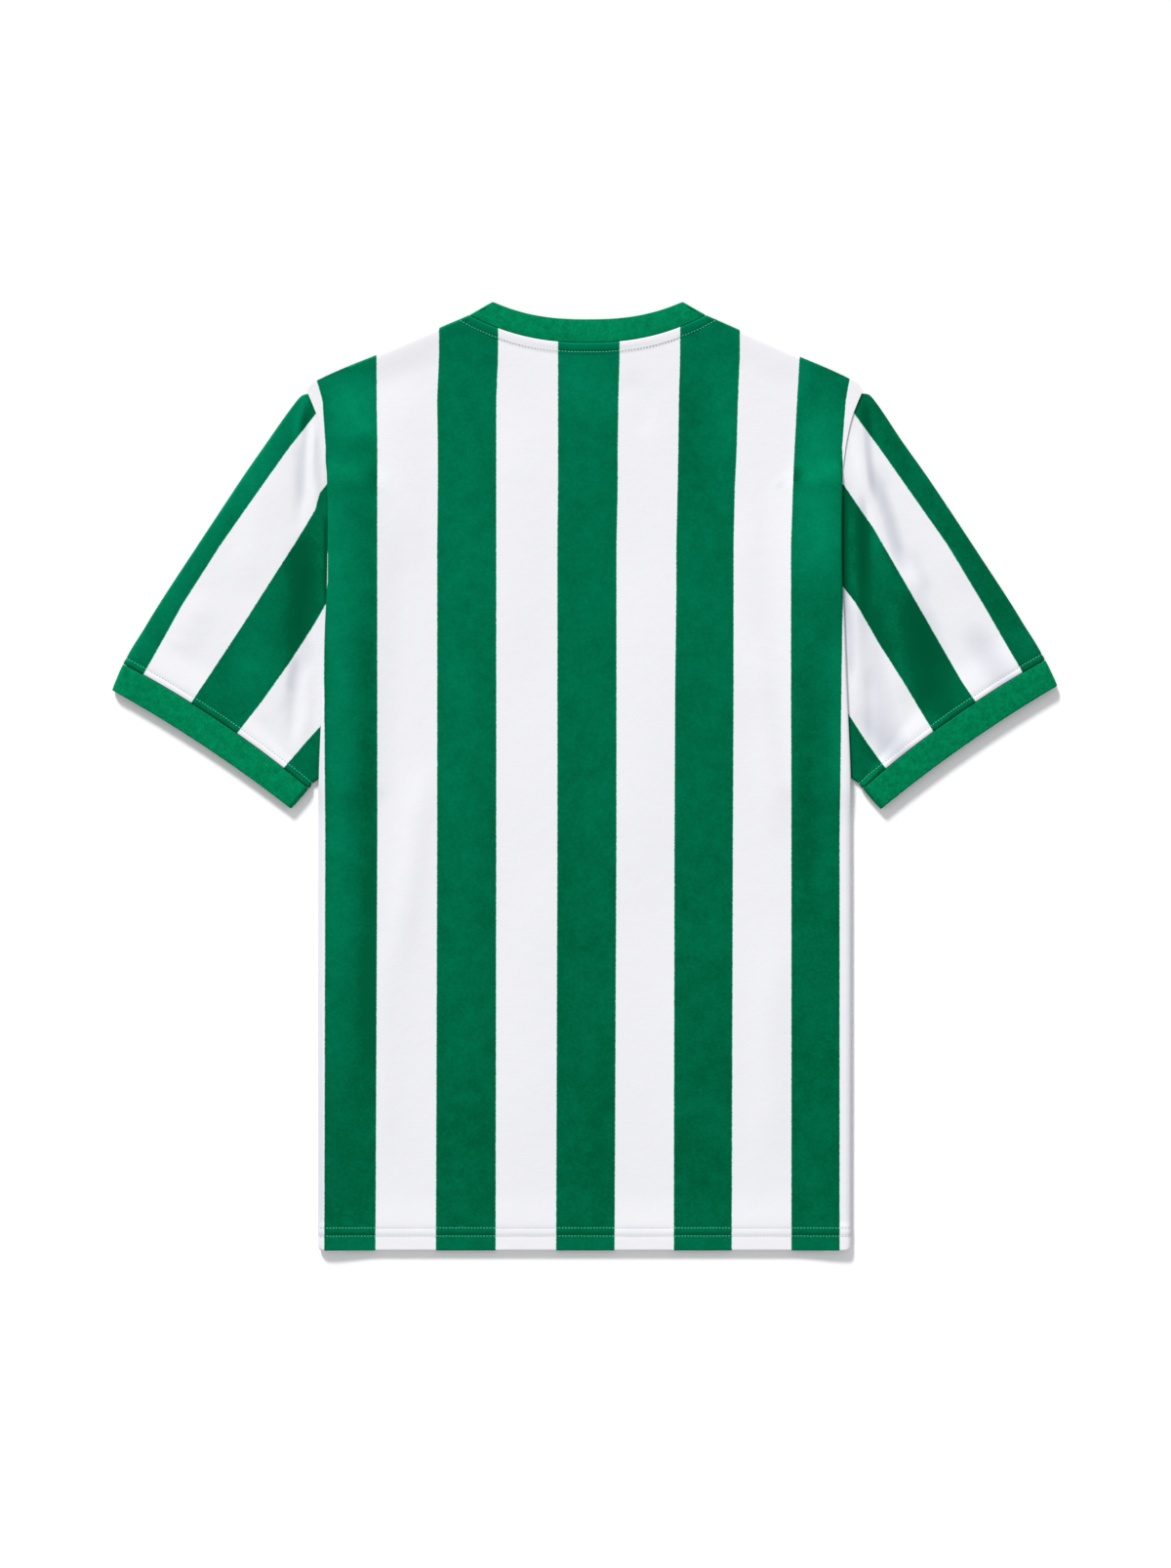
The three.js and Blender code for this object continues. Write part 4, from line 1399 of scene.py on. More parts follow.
RIGHT_SLEEVE = SleeveCut(
    side=Side.RIGHT,
    seam_top=(367.4, 93.1),
    seam_under=(221.8, -9.6),
    edge_top=(377.3, 72.4),
    edge_under=(236.2, -26.3),
    shoulder_bow=1.8,
    folds=(
        Streak((232, 250), (243, 210), (264, 150), 9, -1.3),
        Streak((258, 158), (274, 116), (288, 70), 14, -1.3),
        Streak((243, 140), (252, 100), (256, 52), 9, 1.0),
        Streak((252, 262), (282, 206), (310, 140), 15, 1.0),
    ),
    creases=(
        Streak((221, 282), (237, 222), (262, 150), 6, -1.2),
        Streak((214, 278), (226, 212), (245, 140), 7, 1.1),
        Streak((223, 232), (224, 176), (227, 90), 4.5, -1.1),
        Streak((227, 90), (228, 56), (229, 14), 4, -0.9),
        Streak((214, 168), (217, 110), (219, 44), 5, 1.0),
    ),
    # Painted highlights along fold ridges, painted shade in hollows, and a painted shadow of the body's edge
    # on the sleeve.
    painted_patches=(
        Streak((223.5, 306), (226, 262), (231, 214), 3.6, -0.6),
        Streak((226, 256), (243, 206), (257, 150), 6, -0.48),
        Streak((258, 190), (268, 165), (277, 140), 8, -0.3),
        Streak((298, 136), (326, 88), (352, 46), 15, -0.45),
        Streak((205, 335), (290, 200), (375, 70), 10, -0.14),
        Streak((211, 156), (212, 110), (213, 66), 4, -0.4),
        Streak((212, 280), (212, 240), (212, 205), 7, -0.25),
        Streak((221, 240), (222.5, 190), (223.5, 134), 4.5, -0.6),
        Streak((206.5, 244), (206.5, 180), (208, 106), 2.6, -1.2),
        Streak((216.5, 282), (217, 256), (216.5, 230), 4, 0.3),
        Streak((258, 156), (274, 94), (284, 36), 15, -0.5),
        Streak((220, 160), (229, 90), (258, -34), 15, -0.42),
        Streak((206, 64), (238, 27), (286, 4), 11, -0.36),
    ),
    # The cuff's painted brightness.
    rib_painted_light=0.05,
    stripes=(
        ((216, 288), (235, 262), (290, 183.5), (318, 137), (349, 83)),
        ((204, 237), (230, 199), (266, 137), (302, 74), (313, 58)),
        ((204, 154), (217, 137), (235, 105.5), (255, 74), (280, 32)),
        ((208.5, 53), (225, 27.5), (242, 4)),
    ),
)


def line_at(points: tuple[Point, ...], y: Array) -> Array:
    """Read a bent line that runs down the page.

    Args:
        points: Its points, each a place outwards and a height, from the top down.
        y: The heights to read it at.

    Returns:
        The places outwards, going straight on past the line's ends.
    """
    out = np.array([p[0] for p in points[::-1]], float)
    heights = np.array([p[1] for p in points[::-1]], float)
    low = out[0] + (np.minimum(y, heights[0]) - heights[0]) * (out[1] - out[0]) / (heights[1] - heights[0])
    high = (np.maximum(y, heights[-1]) - heights[-1]) * (out[-1] - out[-2]) / (heights[-1] - heights[-2])
    return np.where(y < heights[0], low, np.interp(y, heights, out) + high)


def outwards(a: Array, b: Array, inside: Array) -> Array:
    """The direction on the page square to a line, away from a place."""
    out = unit(np.array([b[1] - a[1], a[0] - b[0]]))
    return -out if np.dot(out, inside - a) > 0 else out


@dataclass
class FlatTube:
    """A flattened tube of cloth, with its upper and lower folds on the page's two sides."""

    sign: int
    wall: float
    bend_steps: int = 8

    def loops(self, pages: Array, tops: Array, upper: Array, lower: Array) -> tuple[Array, Array, int]:
        """Run loops round the tube.

        Args:
            pages: Each row's places on the page, from the upper fold to the lower.
            tops: The height of the tube's top at each.
            upper: The direction in which each row's upper fold bulges.
            lower: The same for its lower fold.

        Returns:
            The middle places, the outward sides, and the column at the middle of the lower fold.
        """
        angles = np.linspace(0, math.pi, self.bend_steps + 1)[1:-1]

        def bend(page: Array, top: Array, out: Array, turns: Array) -> tuple[Array, Array]:
            """Run round one fold.

            Args:
                page: Each row's place where the fold starts.
                top: The height of the tube's top there.
                out: The direction in which the fold bulges.
                turns: The angles round it, from the top.

            Returns:
                The places and their sides.
            """
            radius = ((top - self.wall) / 2)[:, None]
            swing = np.sin(turns)[None, :]
            x = page[:, None, 0] + out[:, None, 0] * radius * swing
            y = page[:, None, 1] + out[:, None, 1] * radius * swing
            z = self.wall / 2 + radius * (1 + np.cos(turns)[None, :])
            side = stack(self.sign * out[:, None, 0] * swing, out[:, None, 1] * swing, np.cos(turns)[None, :])
            return stack(self.sign * x, y, z), side

        over = stack(self.sign * pages[..., 0], pages[..., 1], tops - self.wall / 2)
        beneath = pages[:, ::-2]
        below = stack(self.sign * beneath[..., 0], beneath[..., 1], self.wall / 2)
        up = np.broadcast_to([0.0, 0.0, 1.0], over.shape)
        down = np.broadcast_to([0.0, 0.0, -1.0], below.shape)
        lower_bend = bend(pages[:, -1], tops[:, -1], lower, angles)
        upper_bend = bend(pages[:, 0], tops[:, 0], upper, angles[::-1])
        middle = np.concatenate([over, lower_bend[0], below, upper_bend[0]], axis=1)
        side = np.concatenate([up, lower_bend[1], down, upper_bend[1]], axis=1)
        return middle, side, over.shape[1] + len(angles) // 2

    def facing_out(self, shell: Shell) -> Shell:
        """Turn a shell of the loops so that its faces point outwards on either side of the jersey."""
        return shell.in_reverse() if self.sign > 0 else shell


@dataclass
class Sleeve:
    """A sleeve and its cuff, laid flat beside the body and tucked a little under it."""

    cut: BodyCut
    own: SleeveCut
    rest: float = 4.6
    lowest: float = 3.2
    crease_floor: float = 2.7
    seam_top: float = 6.2
    dip: Point = (8.0, 40.0)
    dip_share: float = 0.9
    level_blend: Point = (0.02, 0.14)
    slack_blend: Point = (0.03, 0.16)
    crease_clear: Point = (1.0, 7.0)
    crease_end: float = 0.97
    end_share: float = 0.05
    fold_turn: float = 0.1
    armhole_turn: float = 0.5
    fold_bow: Curve = Curve(
        (0, 0), (0.07, 1.8), (0.2, 3.8), (0.43, 4.7), (0.7, 5.3), (0.86, 4.9), (0.95, 4.2), (0.985, 2.9),
        (1, 0),
    )
    shoulder_bow: Point = (0.8, 0.985)
    seam_bow: float = 4.4
    cuff_top: float = 7.0
    cuff_bow: float = 3.1
    cuff_steps: int = 90
    stitch_away: float = 5.0
    stitch_sunk: float = 0.6
    seam_near: float = 0.3
    groove: float = 0.3
    groove_width: float = 0.9
    ridge: float = 0.18
    ridge_at: Point = (2.4, 1.6)
    end_wall: float = 0.02
    puff: float = 0.25
    stitch_floor: float = 0.2
    stripe: float = 47.0
    # Painted light: the sleeve's painted brightness, how far its folds are painted lighter on ridges and
    # darker in troughs, and a painted shadow line along the cuff seam with its width.
    shine: float = 0.2
    fold_painted_light: float = 0.1
    seam_shade: float = 0.7
    seam_shade_width: float = 1.0
    hole_parts: tuple[tuple[float, float, int], ...] = ((13.5, 230, 72), (232, 304.6, 49))
    hole_heights: tuple[float, ...] = (
        13.5, 45, 80, 120, 160, 195, 218, 232, 245, 258, 270, 281, 290, 298, 304.6,
    )

    def __post_init__(self) -> None:
        """Work out the sleeve's edges on the page.

        The armhole's listed heights are the ones that meet even shares of the cuff seam.
        """
        cut, own = self.cut, self.own
        heights = np.concatenate([np.linspace(*part) for part in self.hole_parts])
        even = np.linspace(1, 0, len(self.hole_heights))
        self.u = np.interp(heights, self.hole_heights, even)[::-1]
        heights = heights[::-1]
        self.hole = stack(cut.armhole(heights), heights)
        top, under = np.array(own.seam_top), np.array(own.seam_under)
        self.upper_out = outwards(top, self.hole[0], under)
        self.lower_out = outwards(under, self.hole[-1], top)
        self.to_shoulder = -outwards(top, under, self.hole[0])
        self.tube = FlatTube(own.side.value, cut.cloth)
        self.cuff_tube = FlatTube(own.side.value, cut.rib)

    def bowed(self, a: Point, b: Point, height: float, bow: float, u: Array) -> Array:
        """Places on a bowed line between two fold ends.

        Args:
            a: The end at the upper fold.
            b: The end at the lower fold.
            height: The tube's height, half of which comes off each end.
            bow: How far the line bows towards the shoulder.
            u: Shares of the way along it.

        Returns:
            The places on the page.
        """
        first, last = np.array(a, float), np.array(b, float)
        inward = unit(last - first) * height / 2
        line = mix(first + inward, last - inward, u[:, None])
        return line + self.to_shoulder * (bow * 4 * u * (1 - u))[:, None]

    def seam(self, u: Array) -> Array:
        """Places on the cuff seam."""
        return self.bowed(self.own.seam_top, self.own.seam_under, self.seam_top, self.seam_bow, u)

    def seam_outs(self) -> tuple[Array, Array]:
        """The directions in which the two folds bulge at the cuff seam."""
        near = self.end_share
        ends = self.seam(np.array([0.0, near, 1.0 - near, 1.0]))
        return unit(ends[0] - ends[1]), unit(ends[3] - ends[2])

    def page(self, v: Array) -> Array:
        """Places on the page.

        Args:
            v: Shares of the way from the cuff seam to the armhole: one for each row, or one for each
                place across it.

        Returns:
            The places of each row, from the upper fold to the lower.
        """
        u, hole, seam = self.u, self.hole, self.seam(self.u)
        v = (v if v.ndim == 2 else v[:, None] * np.ones(u.size))[..., None]
        u = u[None, :, None]
        line = mix(mix(seam[0], hole[0], v), mix(seam[-1], hole[-1], v), u)
        seam_bow = (seam - mix(seam[0], seam[-1], u[0])) * (1 - v)
        hole_bow = (hole - mix(hole[0], hole[-1], u[0])) * v
        near_shoulder = smooth(*self.shoulder_bow, v) * smooth(1, self.shoulder_bow[1], v)
        fold_bow = self.fold_bow(v) + self.own.shoulder_bow * near_shoulder
        return line + seam_bow + hole_bow + self.upper_out * fold_bow * (1 - u)

    def top(self, pages: Array, v: Array) -> Array:
        """Work out how high the sleeve lies.

        Args:
            pages: Places on the page.
            v: Their shares of the way from the cuff seam.

        Returns:
            The height of its top.
        """
        x, y = pages[..., 0], pages[..., 1]
        out = x - self.cut.sides(y)
        beside = smooth(*self.dip, out) * smooth(1, self.dip_share, v)
        loose = smooth(*self.slack_blend, v)
        slack = self.rest + (total(self.own.folds, x, y) + ripple(x, y)) * loose
        level = mix(self.cut.under_lap_top, np.maximum(slack, self.lowest), beside)
        fine = total(self.own.creases, x, y) * smooth(*self.crease_clear, out) * smooth(1, self.crease_end, v)
        level = np.maximum(level + fine * loose, self.crease_floor)
        return mix(self.seam_top, level, smooth(*self.level_blend, v))

    def outs(self, v: Array) -> tuple[Array, Array]:
        """Work out the directions in which the two folds bulge.

        Args:
            v: Each row's share of the way from the cuff seam.

        Returns:
            The upper fold's directions and the lower fold's.
        """
        seam_upper, seam_lower = self.seam_outs()
        v = v[:, None]
        made = []
        for at_seam, fold, at_hole in (
            (seam_upper, self.upper_out, self.upper_out),
            (seam_lower, self.lower_out, np.array([0.0, -1.0])),
        ):
            along = mix(at_seam, fold, smooth(0, self.fold_turn, v))
            made.append(unit(mix(along, at_hole, smooth(self.armhole_turn, 1, v))))
        return made[0], made[1]

    def stripes(self, pages: Array) -> Array:
        """Count the stripe edges from the upper fold inwards.

        Args:
            pages: Places on the page.

        Returns:
            The count, with the share of the next stripe: 1 at the first edge.
        """
        x, y = pages[..., 0], pages[..., 1]
        at = [line_at(points, y) for points in self.own.stripes]
        pitch = self.stripe / abs(self.upper_out[0])
        count = 1 - np.maximum(x - at[0], 0.0) / pitch
        for outer, inner in zip(at, at[1:]):
            count = count + np.clip((outer - x) / (outer - inner), 0.0, 1.0)
        return count + np.maximum(at[-1] - x, 0.0) / pitch

    def round_sleeve(self, over: Array) -> Array:
        """Carry the stripes on round the sleeve.

        Args:
            over: The stripes' count on the sleeve's top, from the upper fold to the lower.

        Returns:
            The count right round each loop.
        """
        fold = over[:, :1]
        below = 2 * fold - over[:, ::-2]
        round_fold = np.linspace(0, 1, self.tube.bend_steps + 1)[1:-1][::-1]
        bent = self.tube.bend_steps - 1
        lower = np.where(np.arange(bent) < bent // 2, over[:, -1:], below[:, :1])
        upper = mix(fold, below[:, -1:], round_fold)
        return np.concatenate([over, lower, below, upper], axis=1)

    def rows(self) -> Array:
        """Shares of the way from the cuff seam to the armhole, closest at the seam."""
        seam = [0, 0.0006, 0.0018, 0.0036, 0.008, 0.012, 0.0155, 0.018, 0.0205, 0.024, 0.03, 0.04]
        return np.concatenate([seam, np.linspace(0.052, 0.6, 46), np.linspace(0.609, 1, 44)])

    def shell(self) -> Shell:
        """Lay out the sleeve.

        Returns:
            Its shell.
        """
        v = self.rows()
        pages = self.page(v)
        tops = self.top(pages, v[:, None])
        middle, side, turn = self.tube.loops(pages, tops, *self.outs(v))
        over = self.stripes(pages)
        pattern = stack(self.round_sleeve(over), middle[..., 1] * METRES)
        away = np.linalg.norm(middle[..., :2] - middle[:1, :, :2], axis=-1)
        groove = self.groove * hump(away - self.stitch_away, self.groove_width)
        relief = (self.ridge * bell(away, self.ridge_at) - groove) * (side[..., 2] > -FACING)
        wall = np.full(away.shape, self.cut.cloth)
        joins = {turn - 1: stack(over[:, -1], middle[:, turn, 1] * METRES)}
        shell = Shell(middle, side, wall, pattern, relief, tube=True, joins=joins)
        tapered(shell, away + self.end_wall)
        out, height = np.abs(middle[..., 0]), middle[..., 1]
        # Painted light: a painted brightness, painted highlight on the folds' ridges and painted shade in
        # their troughs, painted patches, and a painted shadow line along the cuff seam.
        slack = total((*self.own.folds, *self.own.creases), out, height)
        shade = self.seam_shade * hump(away, self.seam_shade_width)
        shell.lustre = self.shine + self.fold_painted_light * slack + total(self.own.painted_patches, out, height) - shade
        return self.tube.facing_out(shell)

    def cuff_shell(self) -> Shell:
        """Lay out the cuff.

        Returns:
            Its shell.
        """
        own = self.own
        u = np.linspace(0, 1, self.cuff_steps + 1)
        seam = self.bowed(own.seam_top, own.seam_under, self.cuff_top, self.seam_bow, u)
        seam = seam - self.to_shoulder * self.cut.seam
        edge = self.bowed(own.edge_top, own.edge_under, self.cuff_top, self.cuff_bow, u)
        ends = np.array([0, 0.006, 0.018, 0.036, 0.07, 0.12, 0.2, 0.3, 0.4])
        v = np.concatenate([ends, [0.5], 1 - ends[::-1]])[::-1]
        pages = mix(seam, edge, v[:, None, None])
        tops = np.full(pages.shape[:2], self.cuff_top)
        outs = [np.tile(out, (v.size, 1)) for out in self.seam_outs()]
        middle, side, _ = self.cuff_tube.loops(pages, tops, *outs)
        width = np.linalg.norm(seam[u.size // 2] - edge[u.size // 2])
        size = RibSize(self.cut.rib, self.puff, -FACING, own.rib_painted_light)
        return self.cuff_tube.facing_out(ribbed(middle, side, v, width, size))

    def stitches(self) -> list[Path]:
        """Lay out the stitches above the cuff seam.

        Returns:
            Their path, right round the sleeve.
        """
        length = np.linalg.norm(self.page(np.array([1.0]))[0] - self.page(np.array([0.0]))[0], axis=-1)
        v = np.clip(self.stitch_away / length, 0, self.seam_near)[None, :]
        pages = self.page(v)
        tops = self.top(pages, v) - self.groove * self.stitch_sunk
        middle, side, _ = self.tube.loops(pages, tops, *self.outs(v[:, 0]))
        places = (middle + side * (self.cut.cloth / 2))[0]
        places[:, 2] = np.maximum(places[:, 2], self.stitch_floor)
        counts = self.round_sleeve(self.stripes(pages))[0]
        return [Path(np.concatenate([places, places[:1]]), np.append(counts, counts[0]))]

    def build(self, cloth: bpy.types.Material, rib: bpy.types.Material) -> tuple[bpy.types.Object, ...]:
        """Make the sleeve and its cuff.

        Args:
            cloth: The sleeve's material.
            rib: The cuff's material.

        Returns:
            The sleeve and the cuff.
        """
        name = self.own.side.name.lower()
        sleeve = self.shell().build(f"sleeve_cloth_{name}", cloth)
        return sleeve, self.cuff_shell().build(f"cuff_knit_{name}", rib)


@dataclass
class Collar:
    """The ribbed collar: a ring laid flat, its back band up and its front band under it."""

    cut: BodyCut
    radius: float = 1.3
    fold_out: Point = (0.87, 0.49)
    puff: float = 0.3
    # Painted light: the collar's painted brightness.
    shine: float = 0.2
    width: float = 23.0
    back_steps: int = 120
    front_steps: int = 100
    bend_steps: int = 8

    def shell(self) -> Shell:
        """Lay out the collar.

        Returns:
            Its shell.
        """
        cut = self.cut
        lower = cut.rib / 2
        upper = cut.collar_top - cut.rib / 2
        top = cut.length / 2
        fold = unit(np.array(self.fold_out))
        inset = self.radius + cut.rib / 2
        ends = np.array([0, 0.006, 0.018, 0.04, 0.08, 0.15, 0.25, 0.37])
        v = np.concatenate([ends, [0.5], 1 - ends[::-1]])
        half = mix(cut.neck_half, cut.apex_half, v)[:, None]
        back_t = np.linspace(-1, 1, self.back_steps + 1)[1:-1]
        front_t = np.sin(np.linspace(-1, 1, self.front_steps + 1) * math.pi / 2)[1:-1][::-1]

        corners = {
            sign: stack(
                cut.neck_x + sign * (half[:, 0] - inset * fold[0]), mix(cut.neck_y, top, v) - inset * fold[1]
            )[:, None]
            for sign in (-1, 1)
        }
        seam = cut.back_seam(np.abs(back_t) * cut.neck_half)
        free = top - cut.apex_drop * (1 - np.abs(back_t) ** cut.apex_power)
        back = stack(cut.neck_x + back_t * half, mix(seam, free, v[:, None]))
        drop = cut.front_curve(np.abs(front_t))
        front_seam = cut.neck_y - cut.front_drop * drop
        front_free = top - (top - cut.neck_y + cut.front_drop - cut.front_band) * drop
        front = stack(cut.neck_x + front_t * half, mix(front_seam, front_free, v[:, None]))

        def level(pages: Array, height: float, way: float) -> tuple[Array, Array]:
            """Places on a flat band, and their sides."""
            at = stack(pages[..., 0], pages[..., 1], height)
            return at, np.broadcast_to([0.0, 0.0, way], at.shape)

        def bend(sign: int, angles: Array) -> tuple[Array, Array]:
            """Run round one of the two folds.

            Args:
                sign: The fold's side of the jersey.
                angles: The angles round it, from the top.

            Returns:
                The places and their sides.
            """
            swing = np.sin(angles)
            x = corners[sign][..., 0] + sign * fold[0] * self.radius * swing
            y = corners[sign][..., 1] + fold[1] * self.radius * swing
            z = (lower + upper) / 2 + (upper - lower) / 2 * np.cos(angles)
            side = stack(sign * fold[0] * swing, fold[1] * swing, np.cos(angles))
            at = stack(x, y, z)
            return at, np.broadcast_to(side, at.shape)

        angles = np.linspace(0, math.pi, self.bend_steps + 1)[1:-1]
        parts = [
            level(corners[-1], upper, 1.0),
            level(back, upper, 1.0),
            level(corners[1], upper, 1.0),
            bend(1, angles),
            level(corners[1], lower, -1.0),
            level(front, lower, -1.0),
            level(corners[-1], lower, -1.0),
            bend(-1, angles[::-1]),
        ]
        middle = np.concatenate([part[0] for part in parts], axis=1)
        side = np.concatenate([part[1] for part in parts], axis=1)
        return ribbed(middle, side, v, self.width, RibSize(cut.rib, self.puff, FACING, self.shine))

    def build(self, finish: bpy.types.Material) -> bpy.types.Object:
        """Make the collar."""
        return self.shell().build("collar_knit", finish)


@dataclass
class Stitching:
    """Rows of short lockstitches along paths. The sizes are in metres."""

    finish: bpy.types.Material
    pitch: float = 0.0025
    length: float = 0.0017
    thread: float = 0.00055
    wander: float = 0.0001
    sides: int = 6
    rings: int = 5
    seed: int = 7

    def inputs(self) -> dict[str, tuple[str, object]]:
        """List the node tree's inputs.

        Returns:
            The kind and the value of each, by name.
        """
        return {
            "Pitch": ("NodeSocketFloat", self.pitch),
            "Length": ("NodeSocketFloat", self.length),
            "Thread": ("NodeSocketFloat", self.thread),
            "Wander": ("NodeSocketFloat", self.wander),
            "Seed": ("NodeSocketInt", self.seed),
            "Finish": ("NodeSocketMaterial", self.finish),
        }

    def tree(self) -> tuple[bpy.types.NodeTree, dict[str, str]]:
        """Build the Geometry Nodes that put a stitch at each step of a path.

        Returns:
            The tree, and the identifier of each of its inputs by name.
        """
        tree = bpy.data.node_groups.new("stitch_row", "GeometryNodeTree")
        kinds = {"Path": "NodeSocketGeometry"} | {name: kind for name, (kind, _) in self.inputs().items()}
        names = {
            name: tree.interface.new_socket(name, in_out="INPUT", socket_type=kind).identifier
            for name, kind in kinds.items()
        }
        tree.interface.new_socket("Stitches", in_out="OUTPUT", socket_type="NodeSocketGeometry")
        graph = Graph(tree)
        inputs = graph.add("NodeGroupInput").outputs
        line = graph.add("GeometryNodeMeshToCurve", {"Mesh": inputs["Path"]}).outputs[0]
        spaced = {"Curve": line, "Length": inputs["Pitch"]}
        steps = graph.add("GeometryNodeCurveToPoints", spaced, mode="LENGTH")
        negative = graph.maths("MULTIPLY", inputs["Wander"], -1.0)
        least = graph.add("ShaderNodeCombineXYZ", {0: negative, 1: negative}).outputs[0]
        most = graph.add("ShaderNodeCombineXYZ", {0: inputs["Wander"], 1: inputs["Wander"]}).outputs[0]
        shift = graph.add(
            "FunctionNodeRandomValue", {0: least, 1: most, "Seed": inputs["Seed"]}, data_type="FLOAT_VECTOR"
        ).outputs[0]
        moved = graph.add("GeometryNodeSetPosition", {0: steps.outputs["Points"], "Offset": shift}).outputs[0]
        ball = {"Segments": self.sides, "Rings": self.rings, "Radius": 0.5}
        bead = graph.add("GeometryNodeMeshUVSphere", ball).outputs[0]
        size = graph.add(
            "ShaderNodeCombineXYZ", {0: inputs["Thread"], 1: inputs["Thread"], 2: inputs["Length"]}
        ).outputs[0]
        stitches = graph.add(
            "GeometryNodeInstanceOnPoints",
            {"Points": moved, "Instance": bead, "Rotation": steps.outputs["Rotation"], "Scale": size},
        ).outputs[0]
        real = graph.add("GeometryNodeRealizeInstances", {0: stitches}).outputs[0]
        soft = graph.add("GeometryNodeSetShadeSmooth", {0: real}).outputs[0]
        dressed = graph.add("GeometryNodeSetMaterial", {0: soft, "Material": inputs["Finish"]}).outputs[0]
        graph.add("NodeGroupOutput", {0: dressed})
        return tree, names

    def sew(self, name: str, paths: list[Path]) -> bpy.types.Object:
        """Sew rows of stitches.

        Args:
            name: The piece's name.
            paths: The rows' paths.

        Returns:
            The stitches as one plain mesh.
        """
        mesh = bpy.data.meshes.new(f"{name}_path")
        points = np.concatenate([path.places for path in paths]) * METRES
        edges, first = [], 0
        for path in paths:
            edges += [(first + i, first + i + 1) for i in range(len(path.places) - 1)]
            first += len(path.places)
        mesh.from_pydata(points.tolist(), edges, [])
        on_white = np.concatenate([path.on_white() for path in paths])
        mesh.attributes.new("on_white", "FLOAT", "POINT").data.foreach_set("value", on_white)
        made = add_object(name, mesh)
        tree, names = self.tree()
        modifier = made.modifiers.new("stitches", "NODES")
        modifier.node_group = tree
        for key, (_, value) in self.inputs().items():
            modifier[names[key]] = value
        made.update_tag()
        depsgraph = bpy.context.evaluated_depsgraph_get()
        sewn = bpy.data.meshes.new_from_object(made.evaluated_get(depsgraph))
        made.modifiers.clear()
        made.data = sewn
        log.info("%s: %d faces", name, len(sewn.polygons))
        return made


@dataclass
class Studio:
    """A pale floor, a soft key lamp from beyond the collar, an even fill, and the camera. In metres."""

    floor_drop: float = 0.0002
    floor_size: float = 8.0
    key_strength: float = 3.85
    key_tilt: float = 61.0
    key_turn: float = 20.0
    key_softness: float = 12.0
    fill: float = 0.6
    fill_colour: Colour = (0.985, 0.99, 1.0)
    eye: float = 4.0
    view_middle: Point = (0.0006, -0.0064)
    view_height: float = 1.2535
    sensor: float = 24.0

    def build(self) -> None:
        """Make the floor, the lamps and the camera."""
        self.floor()
        self.lamps()
        self.camera()

    def floor(self) -> None:
        """Lay the floor just under the cloth."""
        half = self.floor_size / 2
        mesh = bpy.data.meshes.new("floor")
        corners = [(-half, -half), (half, -half), (half, half), (-half, half)]
        mesh.from_pydata([(x, y, -self.floor_drop) for x, y in corners], [], [(0, 1, 2, 3)])
        mesh.materials.append(FloorPaper().make())
        add_object("floor", mesh)

    def lamps(self) -> None:
        """Hang the key lamp and set the fill."""
        lamp = bpy.data.lights.new("key", "SUN")
        lamp.energy = self.key_strength
        lamp.angle = math.radians(self.key_softness)
        turn = (-math.radians(self.key_tilt), 0.0, math.radians(self.key_turn))
        add_object("key", lamp).rotation_euler = turn
        world = bpy.data.worlds.new("fill")
        world.use_nodes = True
        back = world.node_tree.nodes["Background"]
        back.inputs["Color"].default_value = (*self.fill_colour, 1.0)
        back.inputs["Strength"].default_value = self.fill
        bpy.context.scene.world = world

    def camera(self) -> None:
        """Set the camera straight above, with the collar at the top of the picture."""
        lens = bpy.data.cameras.new("camera")
        lens.sensor_fit = "VERTICAL"
        lens.sensor_height = self.sensor
        lens.lens = self.sensor * self.eye / self.view_height
        made = add_object("camera", lens)
        made.location = (*self.view_middle, self.eye)
        bpy.context.scene.camera = made
        bpy.context.scene.view_settings.view_transform = "Standard"


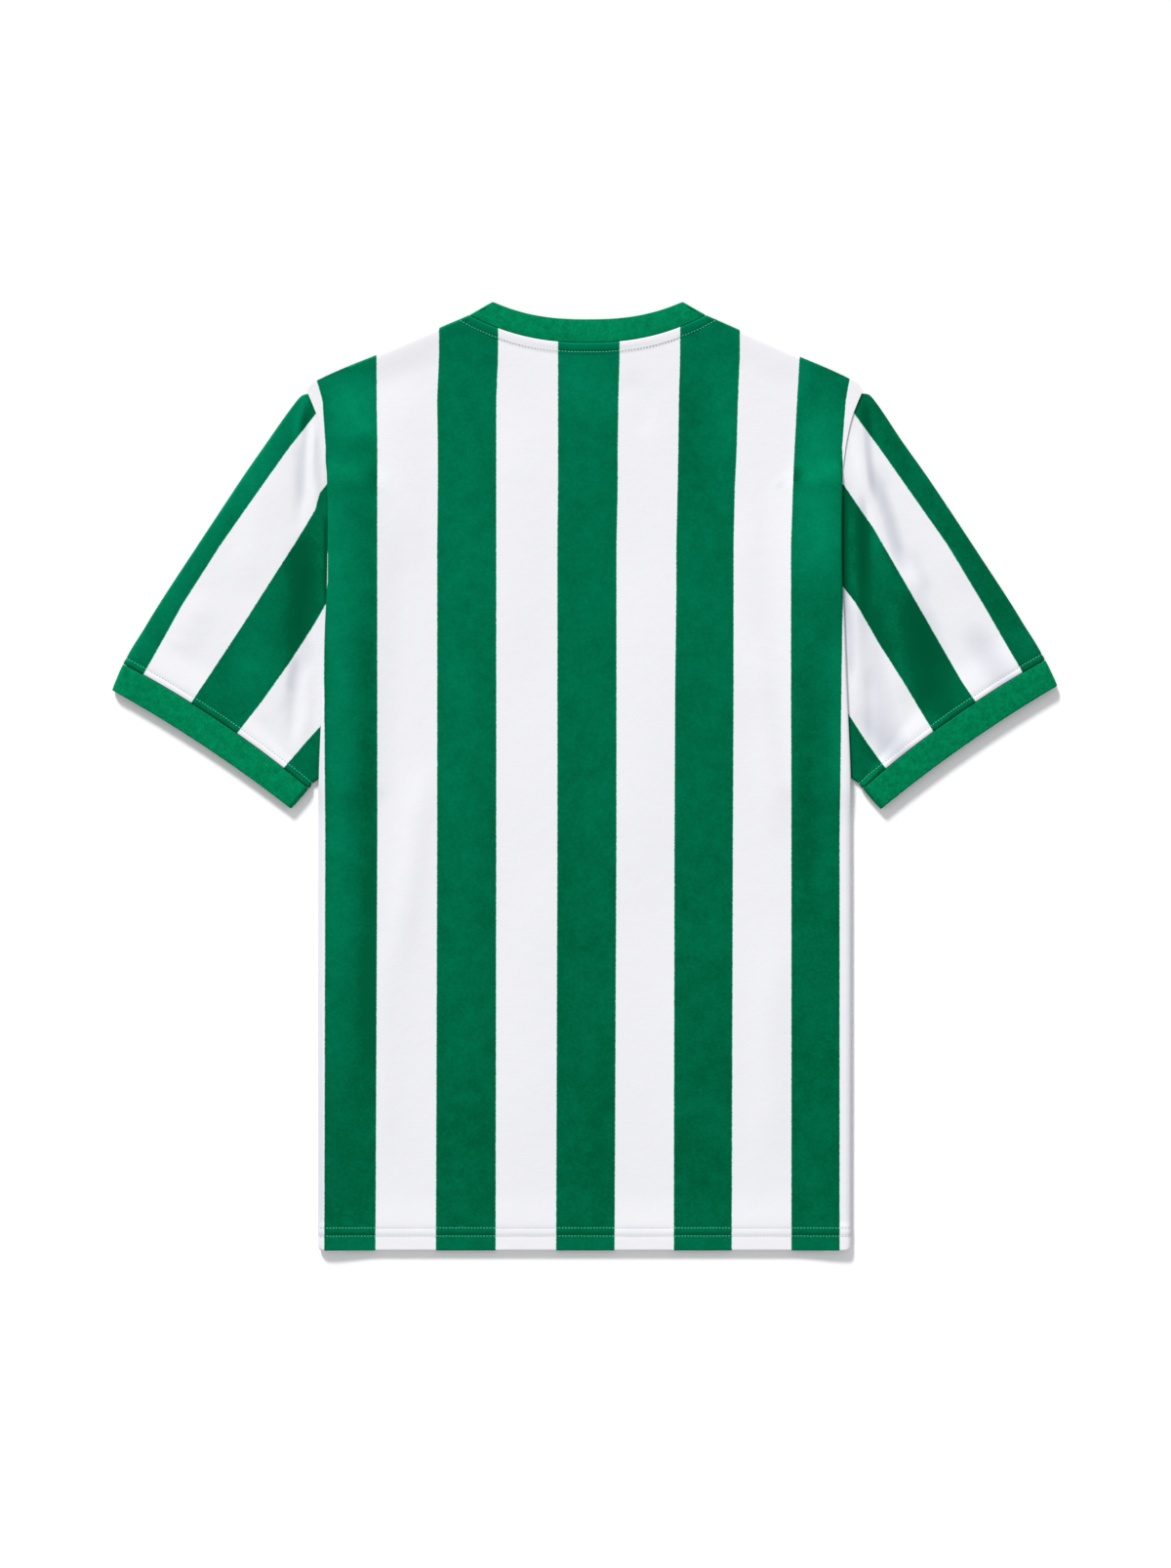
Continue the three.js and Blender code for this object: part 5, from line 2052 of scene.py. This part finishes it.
@dataclass(frozen=True)
class Cloth:
    """What is listed of one piece of cloth: the size it was cut to, in metres, and how it lies."""

    node: str
    slot: Slot
    flat: tuple[float, float]
    area: float
    held: Held
    rests_on: tuple[str, ...]

    def declare(self, piece: bpy.types.Object, sewn: tuple[bpy.types.Object, ...] = ()) -> None:
        """Put a piece in its node's place, hide the node's own part and attach the stitches.

        Args:
            piece: The piece.
            sewn: The stitches on it.
        """
        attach(piece, "root")
        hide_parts(self.node)
        for stitches in sewn:
            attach(stitches, "root")
        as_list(self.rests_on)


def main() -> None:
    """Dress the jersey, piece by piece."""
    logging.basicConfig(level=logging.INFO, format="%(message)s")
    Studio().build()
    cut, stripes = BodyCut(), BodyStripes()
    knit, rib = StripedKnit().make(), RibKnit().make()
    sewing = Stitching(Thread().make())

    back = BackPanel(cut, stripes)
    back_piece = back.build(knit)
    back_sewing = (
        sewing.sew("hem_stitches_back", back.hem_stitches()),
        sewing.sew("neck_stitches_back", back.neck_stitches()),
    )
    Cloth("back_panel", Slot.BODY, (0.467, 0.747), 0.327, Held.LAID, ("front_panel",)).declare(
        back_piece, back_sewing
    )
    front = FrontPanel(cut, stripes)
    front_piece = front.build(knit)
    front_sewing = (sewing.sew("stitches_front", front.stitches()),)
    Cloth("front_panel", Slot.BODY, (0.441, 0.747), 0.276, Held.LAID, ()).declare(front_piece, front_sewing)
    for own in (LEFT_SLEEVE, RIGHT_SLEEVE):
        name = own.side.name.lower()
        sleeve = Sleeve(cut, own)
        cloth_piece, cuff_piece = sleeve.build(knit, rib)
        sleeve_sewing = (sewing.sew(f"sleeve_stitches_{name}", sleeve.stitches()),)
        Cloth(f"sleeve_{name}", Slot.SLEEVE, (0.358, 0.262), 0.0588, Held.FOLDED, ()).declare(
            cloth_piece, sleeve_sewing
        )
        Cloth(f"cuff_{name}", Slot.CUFF, (0.358, 0.024), 0.0081, Held.FOLDED, ()).declare(cuff_piece)
    collar_piece = Collar(cut).build(rib)
    Cloth("collar", Slot.COLLAR, (0.47, 0.024), 0.0092, Held.FOLDED, ()).declare(collar_piece)


if __name__ == "__main__":
    main()
